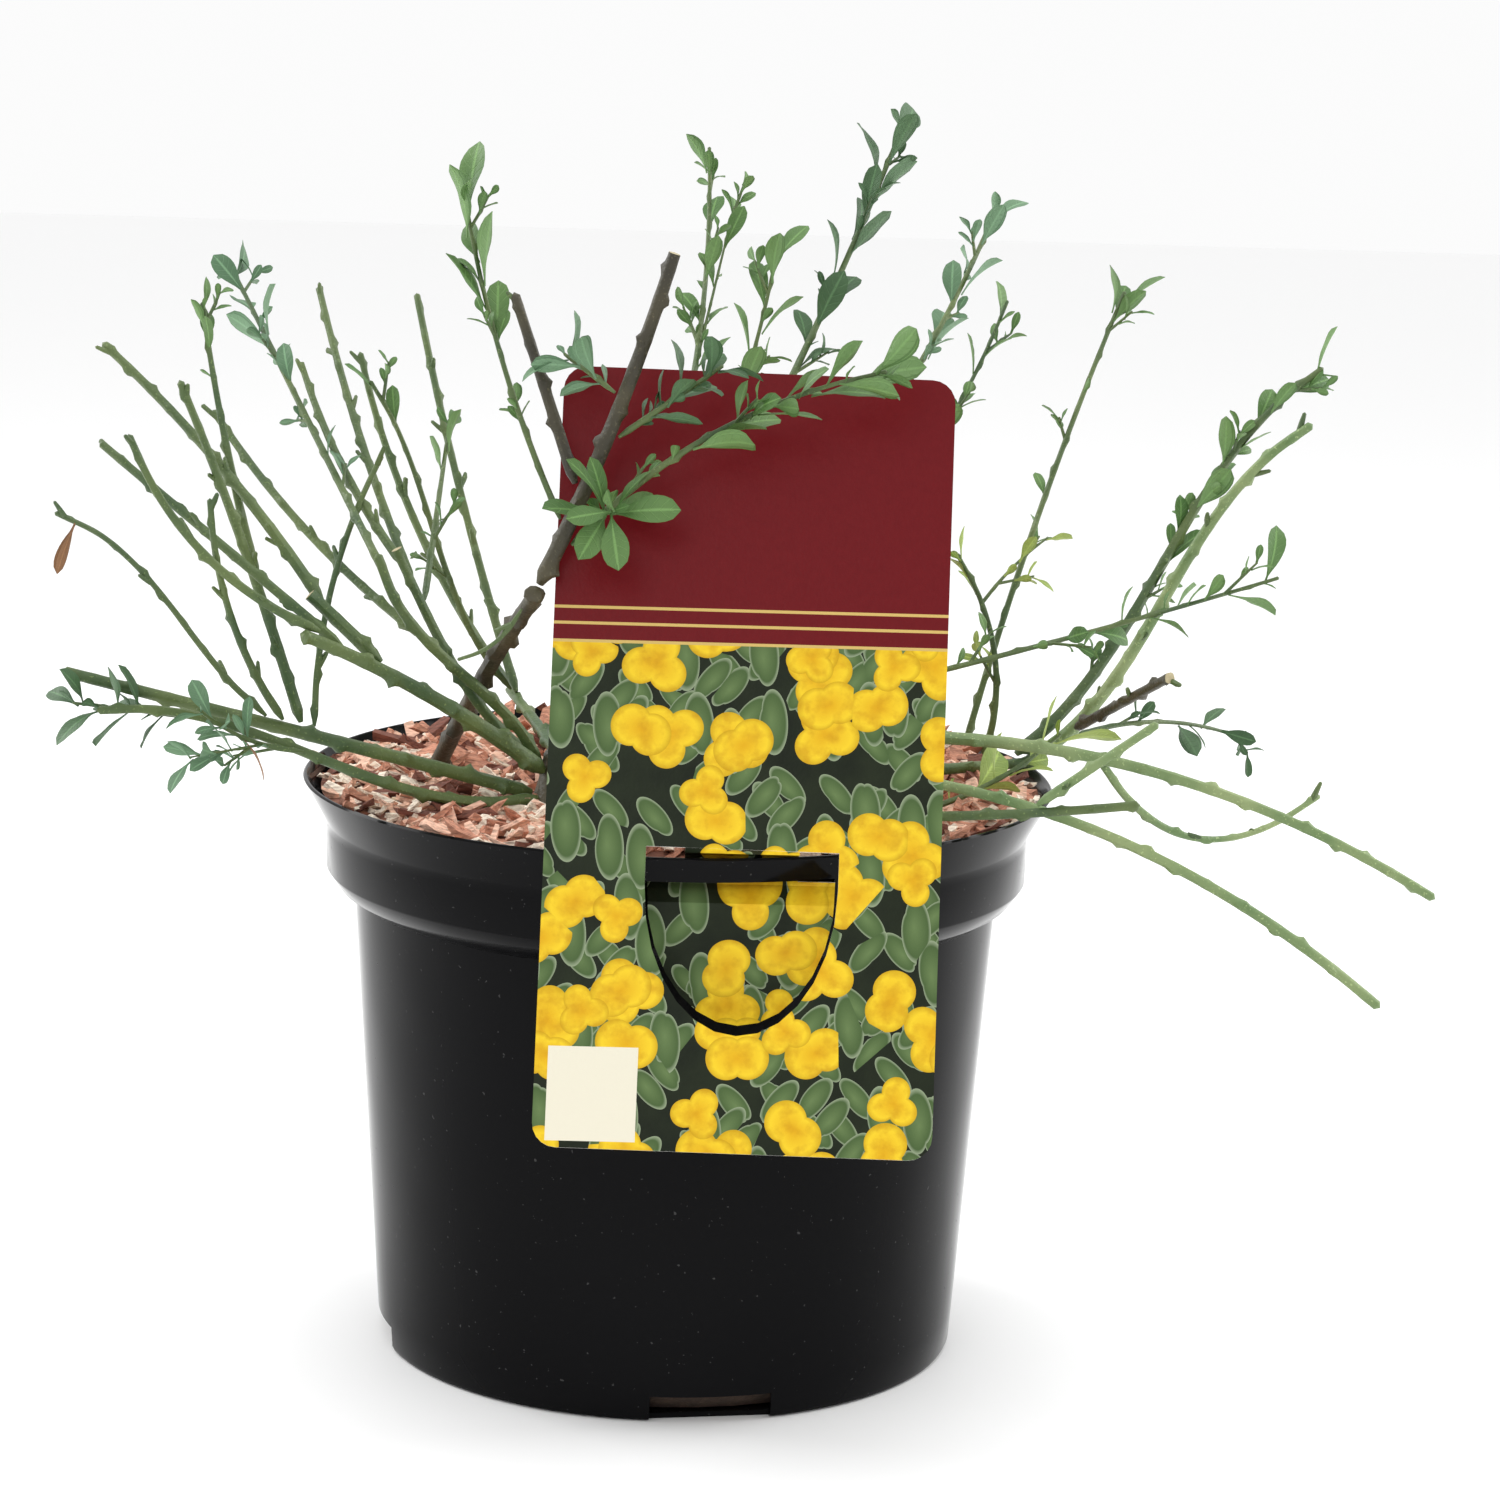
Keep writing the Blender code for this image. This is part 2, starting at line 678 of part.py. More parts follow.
def build_spray(spec, plant, room, parts, finish):
    """One leafy mass: a stem, its side twigs, and the leaves that find room on them."""
    name = spec["name"]
    dice = random.Random(spec.get("seed", name))
    pieces = collection(f"{name}_pieces")
    stems = [(name, spec)]
    stem = as_mesh(tube(name, *plant.limbs[name], spec.get("sides", 0), parts))
    for index, twig in enumerate(spec.get("twigs", [])):
        twig_name = f"{name}_twig_{index}"
        as_mesh(tube(twig_name, *plant.limbs[twig_name], 0, pieces))
        stems.append((twig_name, twig))
    for stem_name, rule in stems:
        points, radii = plant.limbs[stem_name]
        first, last = rule.get("leafy", (0.6, 0.98))
        lengths = rule.get("leaf", (10, 15))
        count = rule.get("leaves", 0)
        for place in leaf_turns(points, count, first, last, rule.get("spread", 40), lengths, dice):
            root, direction = along(points, place["share"])
            for attempt in range(5):
                turn = place["turn"] + 73 * attempt
                points_to, across = leaf_axes(direction, turn, place["spread"], place["roll"])
                if room.holds(name, root, points_to, place["length"]):
                    room.take(name, root, points_to, place["length"])
                    sunk = root - points_to * LEAF_ROOT_SINK * radii[-1]
                    leaf_solid(f"{name}_leaf", sunk, points_to, across, place["length"], pieces)
                    break
    made = joined(stem, pieces)
    made.data.materials.clear()
    made.data.materials.append(finish)
    return made


# The limbs, as seen from the crown: the heading, level reach and height above the table of each tip.
# A limb starts on the crown, "on" another limb "at" a share of its length, or from the mulch.

BOUGHS = [
    dict(name="bough_left_upper", heading=-165, reach=113, height=162, thick=3.2, leaves_at=-172, level=2.5),
    dict(
        name="bough_left_lower", heading=-161, reach=107, height=155, thick=2.6, leaves_at=-146, level=2.2,
        bow=-1, shift=-9,
    ),
    dict(name="bough_left_stout", heading=-150, reach=67, height=172, thick=3.8, leaves_at=-150, level=8, bow=2),
    dict(
        name="bough_left_mid", heading=-157, reach=47.5, height=187, thick=2.7, leaves_at=-170, level=9.5,
        bow=-2, shift=5,
    ),
    dict(
        name="bough_left_inner", heading=-168, reach=41.5, height=187, thick=2.5, leaves_at=157, level=8,
        bow=-4, shift=-2,
    ),
    dict(name="bough_back", heading=102, reach=92, height=138, thick=3.0, leaves_at=102, level=4, bow=1),
    dict(name="bough_front", heading=-101, reach=45, height=184, thick=3.8, from_mulch=(140, 44), bow=4, sway=1.5, tip_share=0.9),
    dict(
        name="bough_front_upper", on="bough_front", at=0.985, heading=-67.5, reach=48, height=256, thick=3.4,
        bow=-1.5, tip_share=0.75,
    ),
    dict(name="bough_right_main", heading=19, reach=112, height=135, thick=3.2, leaves_at=22, level=4, bow=-1),
    dict(name="bough_right_long", heading=-3, reach=189, height=116, thick=3.0, leaves_at=-2, level=7, bow=20),
    dict(
        name="bough_right_low", heading=-17, reach=179, height=102, thick=2.8, leaves_at=-25, level=6,
        bow=20, sway=2,
    ),
    dict(
        name="bough_right_front", heading=-22, reach=128, height=143, thick=2.6, leaves_at=-50, level=2.5, bow=-3,
    ),
]

CANES = [
    dict(
        name="cane_left_stout", on="bough_left_stout", at=0.7, heading=-159, reach=62, height=179, thick=2.8,
        tip_share=0.9,
    ),
    dict(
        name="cane_left_high", on="cane_left_stout", at=0.85, heading=176, reach=106, height=228, thick=2.4,
        bow=2, sway=-1,
    ),
    dict(
        name="cane_left_mid", on="bough_left_stout", at=0.85, heading=-170.5, reach=104.5, height=209.5,
        thick=2.2,
    ),
    dict(
        name="cane_left_near", on="bough_left_stout", at=0.95, heading=-156, reach=103, height=214.5, thick=2.2,
        bow=-6, sway=-1,
    ),
    dict(
        name="cane_left_behind", on="bough_left_mid", at=0.64, heading=156, reach=93, height=210, thick=2.2,
        bow=-3, sway=1,
    ),
    dict(
        name="cane_left_thin", on="bough_left_upper", at=0.58, heading=-179, reach=115, height=192, thick=1.5,
        bow=3, shift=-5,
    ),
    dict(
        name="cane_left_short", on="bough_left_upper", at=0.55, heading=-154, reach=86.5, height=201, thick=1.8,
        bow=-3, sway=-2,
    ),
    dict(
        name="cane_left_tall", on="bough_left_upper", at=0.51, heading=-169, reach=88, height=223, thick=2.3,
        bow=1,
    ),
    dict(
        name="cane_left_crossing", on="bough_left_upper", at=0.48, heading=169, reach=46, height=205,
        thick=1.6, bow=2, sway=3,
    ),
    dict(
        name="cane_inner_first", on="bough_left_inner", at=0.93, heading=153, reach=73, height=222, thick=2.0,
        bow=-1.5, sway=1.5,
    ),
    dict(
        name="cane_inner_second", on="bough_left_inner", at=0.86, heading=140, reach=82, height=237, thick=2.1,
        bow=-1, sway=1,
    ),
    dict(
        name="cane_back_left", on="bough_back", at=0.97, heading=118, reach=122, height=216, thick=2.2,
        bow=-4, sway=2,
    ),
    dict(
        name="cane_back_tall", on="bough_back", at=0.86, heading=110, reach=131, height=229, thick=2.2,
        bow=-1, sway=1,
    ),
    dict(
        name="cane_front_dark", on="bough_front_upper", at=0.3, heading=-115, reach=35, height=245, thick=2.5,
        tip_share=0.85,
    ),
    dict(name="cane_front_thin", on="bough_front", at=0.93, heading=-126, reach=43, height=168, thick=1.1, bow=-2),
    dict(
        name="cane_right_tall", on="bough_right_main", at=0.985, heading=1, reach=158, height=218, thick=2.8,
        bow=1, shift=-8,
    ),
    dict(
        name="cane_right_dark", on="cane_right_tall", at=0.12, heading=-7.5, reach=129, height=165, thick=2.5,
        tip_share=0.85,
    ),
    dict(
        name="cane_right_near", on="bough_right_front", at=0.82, heading=-23, reach=132, height=161, thick=2.2,
        tip_share=0.85,
    ),
    dict(
        name="cane_right_arched", on="bough_right_long", at=0.57, heading=8, reach=169, height=131, thick=1.8,
        bow=-14,
    ),
]

SPRAYS = [
    dict(
        name="spray_left_tip", on="bough_left_lower", at=0.8, heading=-163, reach=112, height=156, thick=1.3,
        leaves=9, leafy=(0.25, 0.97), leaf=(9, 13), spread=62,
    ),
    dict(
        name="spray_left_low", on="bough_left_lower", at=0.55, heading=-156, reach=88, height=156, thick=1.3,
        bow=-2, leaves=5, leafy=(0.5, 0.97), leaf=(8, 12), spread=60,
        twigs=[dict(at=0.35, heading=-152, reach=92, height=147, leaves=5, leafy=(0.4, 0.97), leaf=(8, 12))],
    ),
    dict(
        name="spray_left_tall", on="cane_left_tall", at=0.42, heading=171.5, reach=86, height=237, thick=2.2,
        sway=1, leaves=4, leafy=(0.8, 0.97), leaf=(7, 10), spread=25,
    ),
    dict(
        name="spray_left_crown", on="bough_left_mid", at=0.93, heading=141, reach=108, height=239, thick=1.9,
        leaves=7, leafy=(0.6, 0.98), leaf=(10, 16), spread=32,
    ),
    dict(
        name="spray_back_left", on="bough_back", at=0.92, heading=124, reach=94, height=213, thick=2.0,
        bow=-1.5, shift=-5, leaves=2, leafy=(0.85, 0.97), leaf=(8, 10), spread=25,
    ),
    dict(
        name="spray_inner", on="bough_left_inner", at=0.78, heading=138, reach=42, height=211, thick=1.5,
        leaves=3, leafy=(0.7, 0.97), leaf=(8, 12), spread=30,
    ),
    dict(
        name="spray_front_left", on="bough_front_upper", at=0.19, heading=-139.5, reach=34, height=263, thick=1.5,
        bow=-1.5, sway=1.5, leaves=6, leafy=(0.58, 0.98), leaf=(10, 17), spread=24,
    ),
    dict(
        name="spray_front_high", on="bough_front_upper", at=0.58, heading=-96, reach=39, height=234, thick=1.3,
        leaves=6, leafy=(0.3, 0.97), leaf=(9, 13), spread=65,
    ),
    dict(
        name="spray_front_side", on="bough_front_upper", at=0.47, heading=-57, reach=53, height=233, thick=1.5,
        leaves=9, leafy=(0.3, 0.97), leaf=(9, 13), spread=55,
    ),
    dict(
        name="spray_front_long", on="bough_front_upper", at=0.14, heading=-36.5, reach=78, height=233, thick=1.7,
        bow=6, leaves=12, leafy=(0.45, 0.98), leaf=(11, 17), spread=38,
        twigs=[
            dict(at=0.12, heading=-82, reach=51, height=203, leaves=9, leafy=(0.2, 0.97), leaf=(11, 16), spread=75),
        ],
    ),
    dict(
        name="spray_top_first", heading=74, reach=92, height=269, thick=1.8, leaves_at=105, bow=-3, sway=-8,
        leaves=5, leafy=(0.62, 0.95), leaf=(9, 13), spread=35,
        twigs=[dict(at=0.62, heading=69, reach=88, height=256, leaves=4, leafy=(0.3, 0.97), leaf=(8, 12))],
    ),
    dict(
        name="spray_top_second", heading=49, reach=63, height=250, thick=1.6, leaves_at=145, bow=-5, sway=-5,
        leaves=8, leafy=(0.66, 0.98), leaf=(10, 14), spread=42,
    ),
    dict(
        name="spray_top_third", heading=49.5, reach=109, height=277, thick=2.2, leaves_at=62, bow=-3, sway=-2,
        leaves=12, leafy=(0.6, 0.98), leaf=(10, 17), spread=34,
    ),
    dict(
        name="spray_top_fourth", heading=50, reach=148, height=255, thick=2.0, leaves_at=22, bow=-8, sway=-5,
        leaves=9, leafy=(0.66, 0.98), leaf=(10, 15), spread=34,
    ),
    dict(
        name="spray_top_fifth", heading=31.5, reach=111, height=238, thick=1.6, leaves_at=-18, bow=-12, sway=-5,
        leaves=6, leafy=(0.7, 0.97), leaf=(7, 10), spread=45,
    ),
    dict(
        name="spray_right_back", from_mulch=(38.5, 114), heading=38, reach=159, height=237, thick=1.8,
        bow=1.5, sway=1, leaves=4, leafy=(0.93, 0.98), leaf=(10, 14), spread=38,
    ),
    dict(
        name="spray_right_tall", on="bough_right_main", at=0.93, heading=17.5, reach=175, height=225, thick=3.0,
        bow=1, shift=-9, sides=1, leaves=10, leafy=(0.5, 0.98), leaf=(8, 14), spread=30,
    ),
    dict(
        name="spray_right_level", heading=1.5, reach=153, height=184, thick=1.6, leaves_at=-62, bow=-2,
        leaves=8, leafy=(0.68, 0.98), leaf=(8, 13), spread=55,
    ),
    dict(
        name="spray_right_rim", from_mulch=(-2, 71), heading=4, reach=107, height=147, thick=1.6, bow=-3,
        leaves=6, leafy=(0.45, 0.97), leaf=(11, 17), spread=45,
    ),
    dict(
        name="spray_right_low", on="cane_right_tall", at=0.07, heading=23.5, reach=170, height=135, thick=1.3,
        bow=4, leaves=4, leafy=(0.6, 0.97), leaf=(8, 12), spread=40,
    ),
    dict(
        name="spray_right_twisted", from_mulch=(33.5, 112), heading=34, reach=103, height=179, thick=2.0,
        bow=5, sway=3, leaves=3, leafy=(0.8, 0.97), leaf=(7, 10), spread=35,
        twigs=[dict(at=0.75, heading=32.5, reach=127, height=182, bow=1, leaves=2, leafy=(0.6, 0.97), leaf=(7, 9))],
    ),
    dict(
        name="spray_back_first", heading=84, reach=100, height=198, thick=2.0, leaves_at=84, level=10, bow=6,
        leaves=9, leafy=(0.5, 0.98), leaf=(10, 15), spread=38,
    ),
    dict(
        name="spray_back_second", heading=60, reach=118, height=186, thick=2.0, leaves_at=60, level=9, bow=8,
        leaves=9, leafy=(0.5, 0.98), leaf=(10, 15), spread=38,
    ),
    dict(
        name="spray_back_third", heading=70, reach=84, height=172, thick=1.8, leaves_at=71, level=4.5, bow=8,
        leaves=8, leafy=(0.45, 0.98), leaf=(10, 14), spread=42,
    ),
]


def grow_all(plant):
    for spec in BOUGHS + CANES:
        plant.grow(**spec)
    for spec in SPRAYS:
        plant.grow(tip_share=TWIG_TIP_SHARE, **spec)
        for index, twig in enumerate(spec.get("twigs", [])):
            plant.fork(f"{spec['name']}_twig_{index}", spec["name"], twig)


def build():
    for obj in list(bpy.data.objects):
        bpy.data.objects.remove(obj)
    parts = collection("potted_broom")
    cutters = collection("cutters")
    cutters.hide_render = True

    black = material("pot_black", (0.006, 0.006, 0.007), 0.18)
    peat = material("potting_mix", (0.03, 0.018, 0.012), 0.95)
    chips = material("wood_chips", (0.50, 0.24, 0.16), 0.85)
    card = material("label_card", (0.20, 0.02, 0.02), 0.35)
    bark = material("cane_bark", (0.10, 0.13, 0.05), 0.6)
    leaf = material("leaf_green", (0.07, 0.17, 0.06), 0.55)

    build_pot(parts, cutters, black)
    build_fill(parts, cutters, peat, chips)
    build_label(parts, cutters, card)
    build_crown(parts, bark)

    plant = Plant()
    grow_all(plant)
    for spec in BOUGHS + CANES:
        tube(spec["name"], *plant.limbs[spec["name"]], 1, parts, bark)
    room = LeafRoom(plant.limbs)
    for spec in SPRAYS:
        build_spray(spec, plant, room, parts, leaf)


build()
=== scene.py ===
# %% [markdown]
# A broom in a nursery pot
#
# The finished look of a small prostrate broom: ridged green canes, spoon-shaped leaves, a black moulded
# pot, a mulch of shredded wood, and a printed card that hangs on the lip. The solid model gives each
# place and size, and this script gives each surface its shape and finish.

# %% Load the solid model
import math
import random
from collections import namedtuple

import bmesh
import bpy
import numpy as np
from mathutils import Matrix, Vector
from mathutils.geometry import intersect_point_line


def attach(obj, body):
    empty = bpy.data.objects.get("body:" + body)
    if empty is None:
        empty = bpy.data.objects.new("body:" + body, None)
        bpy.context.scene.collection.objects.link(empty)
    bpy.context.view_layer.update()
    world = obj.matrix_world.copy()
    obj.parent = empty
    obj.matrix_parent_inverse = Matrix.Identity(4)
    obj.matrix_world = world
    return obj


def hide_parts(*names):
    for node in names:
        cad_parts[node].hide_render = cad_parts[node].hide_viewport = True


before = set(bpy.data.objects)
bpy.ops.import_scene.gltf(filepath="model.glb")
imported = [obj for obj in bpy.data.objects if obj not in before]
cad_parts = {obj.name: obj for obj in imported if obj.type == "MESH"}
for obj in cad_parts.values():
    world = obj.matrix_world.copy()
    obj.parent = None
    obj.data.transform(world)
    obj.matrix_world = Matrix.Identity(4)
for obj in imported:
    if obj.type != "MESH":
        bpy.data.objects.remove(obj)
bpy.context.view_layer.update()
scene = bpy.context.scene
MM = 0.001


def linked(name, data):
    """A new object in the scene."""
    made = bpy.data.objects.new(name, data)
    scene.collection.objects.link(made)
    return made


# %% [markdown]
# The camera stands a metre in front of the pot and a little above it, with a long lens, and leans by
# under two degrees. A long lens keeps the rim's ellipse flat. It is placed by its own three directions,
# which is simpler than working out three turns.

# %% Camera
CAMERA_BACK = 1.0
CAMERA_HEIGHT = 0.3392
CAMERA_PITCH = 0.1991
CAMERA_YAW = 0.0161
CAMERA_ROLL = 0.0296
CAMERA_LENS = 107.7
SENSOR_WIDTH = 36.0

ahead = Vector((
    math.sin(CAMERA_YAW) * math.cos(CAMERA_PITCH),
    math.cos(CAMERA_YAW) * math.cos(CAMERA_PITCH),
    -math.sin(CAMERA_PITCH),
))
level_right = Vector((math.cos(CAMERA_YAW), -math.sin(CAMERA_YAW), 0))
level_up = level_right.cross(ahead)
right = level_right * math.cos(CAMERA_ROLL) + level_up * math.sin(CAMERA_ROLL)
up = level_up * math.cos(CAMERA_ROLL) - level_right * math.sin(CAMERA_ROLL)

camera = linked("camera", bpy.data.cameras.new("camera"))
camera.data.lens = CAMERA_LENS
camera.data.sensor_width = SENSOR_WIDTH
camera.data.sensor_fit = "HORIZONTAL"
turn = Matrix((right, up, -ahead)).transposed().to_4x4()
camera.matrix_world = Matrix.Translation((0, -CAMERA_BACK, CAMERA_HEIGHT)) @ turn
scene.camera = camera
print("camera at", tuple(round(v, 3) for v in camera.location))

# %% [markdown]
# The plant stands in a white light tent: an even white world, a pale floor, and four weak soft boxes that
# give the leaves a little shape. Two of the boxes light the floor beside and behind the pot. Seen from a
# little above, that floor is what the gloss plastic mirrors at its sides.

# %% Lights and world
# Each soft box has a name, a place, a size, the place it points at, and its power in watts.
SOFT_BOXES = [
    ("box_left", (-0.75, 0.30, 0.55), (0.5, 0.5), (-0.32, 0.12, 0.0), 4.5),
    ("box_right", (0.80, 0.30, 0.55), (0.5, 0.5), (0.32, 0.12, 0.0), 4.0),
    ("box_top", (0.05, 0.10, 1.3), (0.8, 0.6), (0.0, 0.05, 0.15), 3.5),
    ("box_front", (-0.45, -1.6, 1.05), (0.6, 0.5), (0.0, 0.0, 0.16), 3.0),
]
WORLD_STRENGTH = 0.97


def soft_box(name, place, size, target, power):
    lamp = bpy.data.lights.new(name, "AREA")
    lamp.shape = "RECTANGLE"
    lamp.size, lamp.size_y = size
    lamp.energy = power
    box = linked(name, lamp)
    box.location = place
    aim = Vector(target) - Vector(place)
    box.rotation_euler = aim.to_track_quat("-Z", "Y").to_euler()


for row in SOFT_BOXES:
    soft_box(*row)

world = bpy.data.worlds.new("studio")
world.use_nodes = True
sky = world.node_tree.nodes["Background"]
sky.inputs["Color"].default_value = (1, 1, 1, 1)
sky.inputs["Strength"].default_value = WORLD_STRENGTH
scene.world = world
scene.view_settings.view_transform = "Standard"
print(len(SOFT_BOXES), "soft boxes")

# %% [markdown]
# Shader sums read best as sums. A small class wraps a socket, and adding or multiplying two of them adds
# the Math node. Everything else comes from one method that takes a node's type, settings and values. The
# pale studio floor is the first thing painted with it.

# %% A painter for materials
# The colour sockets of a Mix node go by number, since its other kinds of socket have the same names.
MIX_SHARE = 0
MIX_FIRST = 6
MIX_SECOND = 7
MIX_RESULT = 2
FLOOR_SIZE = 6.0
FLOOR_COLOUR = (0.96, 0.96, 0.96)


class Value:
    """A number or colour on its way through a material."""

    def __init__(self, paint, socket):
        self.paint = paint
        self.socket = socket

    def maths(self, operation, first, second=0.0):
        made = self.paint.node("ShaderNodeMath", {"operation": operation}, {0: first, 1: second})
        return Value(self.paint, made.outputs[0])

    def __add__(self, other):
        return self.maths("ADD", self, other)

    def __mul__(self, other):
        return self.maths("MULTIPLY", self, other)

    def __sub__(self, other):
        return self.maths("SUBTRACT", self, other)

    def __truediv__(self, other):
        return self.maths("DIVIDE", self, other)

    def __gt__(self, other):
        return self.maths("GREATER_THAN", self, other)

    def __lt__(self, other):
        return self.maths("LESS_THAN", self, other)

    def size(self):
        return self.maths("ABSOLUTE", self)

    def root(self):
        return self.maths("SQRT", self)

    def cosine(self):
        return self.maths("COSINE", self)


class Paint:
    """A Principled material that is built up from named nodes."""

    def __init__(self, name, roughness=0.5):
        self.material = bpy.data.materials.new(name)
        self.material.use_nodes = True
        self.tree = self.material.node_tree
        self.shader = self.tree.nodes["Principled BSDF"]
        self.shader.inputs["Roughness"].default_value = roughness

    def node(self, kind, settings=None, values=None):
        made = self.tree.nodes.new(kind)
        for key, setting in (settings or {}).items():
            setattr(made, key, setting)
        for key, value in (values or {}).items():
            if isinstance(value, Value):
                self.tree.links.new(value.socket, made.inputs[key])
            else:
                made.inputs[key].default_value = value
        return made

    def place(self, scale=(1, 1, 1)):
        """The piece's own coordinates in metres, times a scale."""
        coords = Value(self, self.node("ShaderNodeTexCoord").outputs["Object"])
        mapping = self.node("ShaderNodeMapping", {}, {"Scale": scale, "Vector": coords})
        return Value(self, mapping.outputs[0])

    def split(self, vector):
        made = self.node("ShaderNodeSeparateXYZ", {}, {0: vector})
        return [Value(self, socket) for socket in made.outputs]

    def noise(self, vector, scale, detail, warp=0.0):
        values = {"Vector": vector, "Scale": scale, "Detail": detail, "Distortion": warp}
        return Value(self, self.node("ShaderNodeTexNoise", {}, values).outputs[0])

    def cells(self, vector, scale, scatter):
        """Scattered cells: the place of the nearest one's middle, and its own random colour."""
        settings = {"voronoi_dimensions": "2D", "feature": "F1"}
        values = {"Vector": vector, "Scale": scale, "Randomness": scatter}
        made = self.node("ShaderNodeTexVoronoi", settings, values)
        return [Value(self, made.outputs[name]) for name in ("Position", "Color")]

    def mix(self, share, first, second):
        values = {MIX_SHARE: share}
        for key, colour in ((MIX_FIRST, first), (MIX_SECOND, second)):
            values[key] = colour if isinstance(colour, Value) else (*colour, 1.0)
        made = self.node("ShaderNodeMix", {"data_type": "RGBA"}, values)
        return Value(self, made.outputs[MIX_RESULT])

    def between(self, value, low, high):
        """Runs from 0 to 1 as a value goes from low to high."""
        values = {0: value, 1: low, 2: high}
        return Value(self, self.node("ShaderNodeMapRange", {"clamp": True}, values).outputs[0])

    def colour(self, value):
        if isinstance(value, Value):
            self.tree.links.new(value.socket, self.shader.inputs["Base Color"])
        else:
            self.shader.inputs["Base Color"].default_value = (*value, 1.0)

    def rough(self, value):
        self.tree.links.new(value.socket, self.shader.inputs["Roughness"])

    def bump(self, height, depth):
        made = self.node("ShaderNodeBump", {}, {"Height": height, "Distance": depth, "Strength": 1.0})
        self.tree.links.new(made.outputs[0], self.shader.inputs["Normal"])


floor_paint = Paint("studio_floor", 0.6)
floor_paint.colour(FLOOR_COLOUR)
bpy.ops.mesh.primitive_plane_add(size=FLOOR_SIZE)
floor = bpy.context.object
floor.name = "floor"
floor.data.materials.append(floor_paint.material)
print("floor ready")

# %% [markdown]
# Every piece here is fixed to the one body of the part. One function adds a mesh, gives it a finish, and
# hides the solids it stands for.

# %% Adding a finished piece


def add_piece(name, mesh, paint, slot, *nodes):
    made = linked(name, mesh)
    mesh.materials.clear()
    mesh.materials.append(paint.material)
    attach(made, "root")
    if nodes:
        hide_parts(*nodes)
    print(name, len(mesh.polygons), "faces")


def settled(obj):
    """The evaluated object as a plain mesh in world space, and the object is removed."""
    bpy.context.view_layer.update()
    graph = bpy.context.evaluated_depsgraph_get()
    mesh = bpy.data.meshes.new_from_object(obj.evaluated_get(graph), depsgraph=graph)
    mesh.transform(obj.matrix_world)
    bpy.data.objects.remove(obj)
    return mesh


def shade_smooth(mesh, angle=40.0):
    mesh.shade_smooth()
    mesh.set_sharp_from_angle(angle=math.radians(angle))


print(len(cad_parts), "solids to dress")

# %% [markdown]
# The pot is moulded in one piece: a flared lip over a straight collar, a short shoulder, and a wall that
# tapers to the foot. Its section is turned with a Screw modifier, in finer steps than the solid has, so
# that the gloss runs round it without facets. The slot and the foot's recesses are cut with Booleans.

# %% Pot
POT_HEIGHT = 131.0
LIP_RADIUS = 85.0
COLLAR_RADIUS = 79.6
COLLAR_TOP = 121.3
COLLAR_FOOT = 110.0
SHOULDER_RADIUS = 77.0
SHOULDER_HEIGHT = 106.5
WALL_TOP_RADIUS = 73.0
WALL_TOP = 104.5
WALL_HEAD = WALL_TOP - 0.6
FOOT_RADIUS = 66.2
FOOT_EDGE = 1.6
WALL = 1.2
POT_TURN = 9.4
SLOT_WIDTH = 42.0
SLOT_DEPTH = 14.0
SLOT_BOTTOM = 119.5
SLOT_TOP = 125.2
RECESSES = 4
# A recess's cutter has its middle on the table, so half its height cuts into the foot.
RECESS_SIZE = (27.0, 8.0, 12.0)
POT_STEPS = 192
WELD_DISTANCE = 0.00001
LIP_EDGE = 0.4
BEAD = 0.35
DUST_SCALE = 900
DUST_LIMIT = 0.735


def turned_mesh(name, profile, steps):
    mesh = bpy.data.meshes.new(name)
    points = [(radius * MM, 0.0, height * MM) for radius, height in profile]
    mesh.from_pydata(points, [(i, i + 1) for i in range(len(points) - 1)], [])
    obj = linked(name, mesh)
    screw = obj.modifiers.new("Turn", "SCREW")
    screw.steps = steps
    screw.render_steps = steps
    screw.use_merge_vertices = True
    screw.merge_threshold = WELD_DISTANCE
    return settled(obj)


def box_cutter(name, heading, radius, height, size):
    """A box whose middle stands at a heading, a radius and a height. Its size goes along, out and up."""
    bpy.ops.mesh.primitive_cube_add(size=1.0)
    cutter = bpy.context.object
    cutter.name = name
    cutter.data.transform(Matrix.Diagonal((size[0] * MM, size[1] * MM, size[2] * MM, 1)))
    out = Matrix.Rotation(math.radians(heading + 90), 4, "Z")
    cutter.data.transform(out @ Matrix.Translation((0, -radius * MM, height * MM)))
    return cutter


def wall_rings(*shares):
    """Points on the outer wall at shares of its height, so that a cut below leaves the shading above."""
    for share in shares:
        radius = FOOT_RADIUS + (WALL_TOP_RADIUS - FOOT_RADIUS) * share
        yield radius, FOOT_EDGE + (WALL_HEAD - FOOT_EDGE) * share


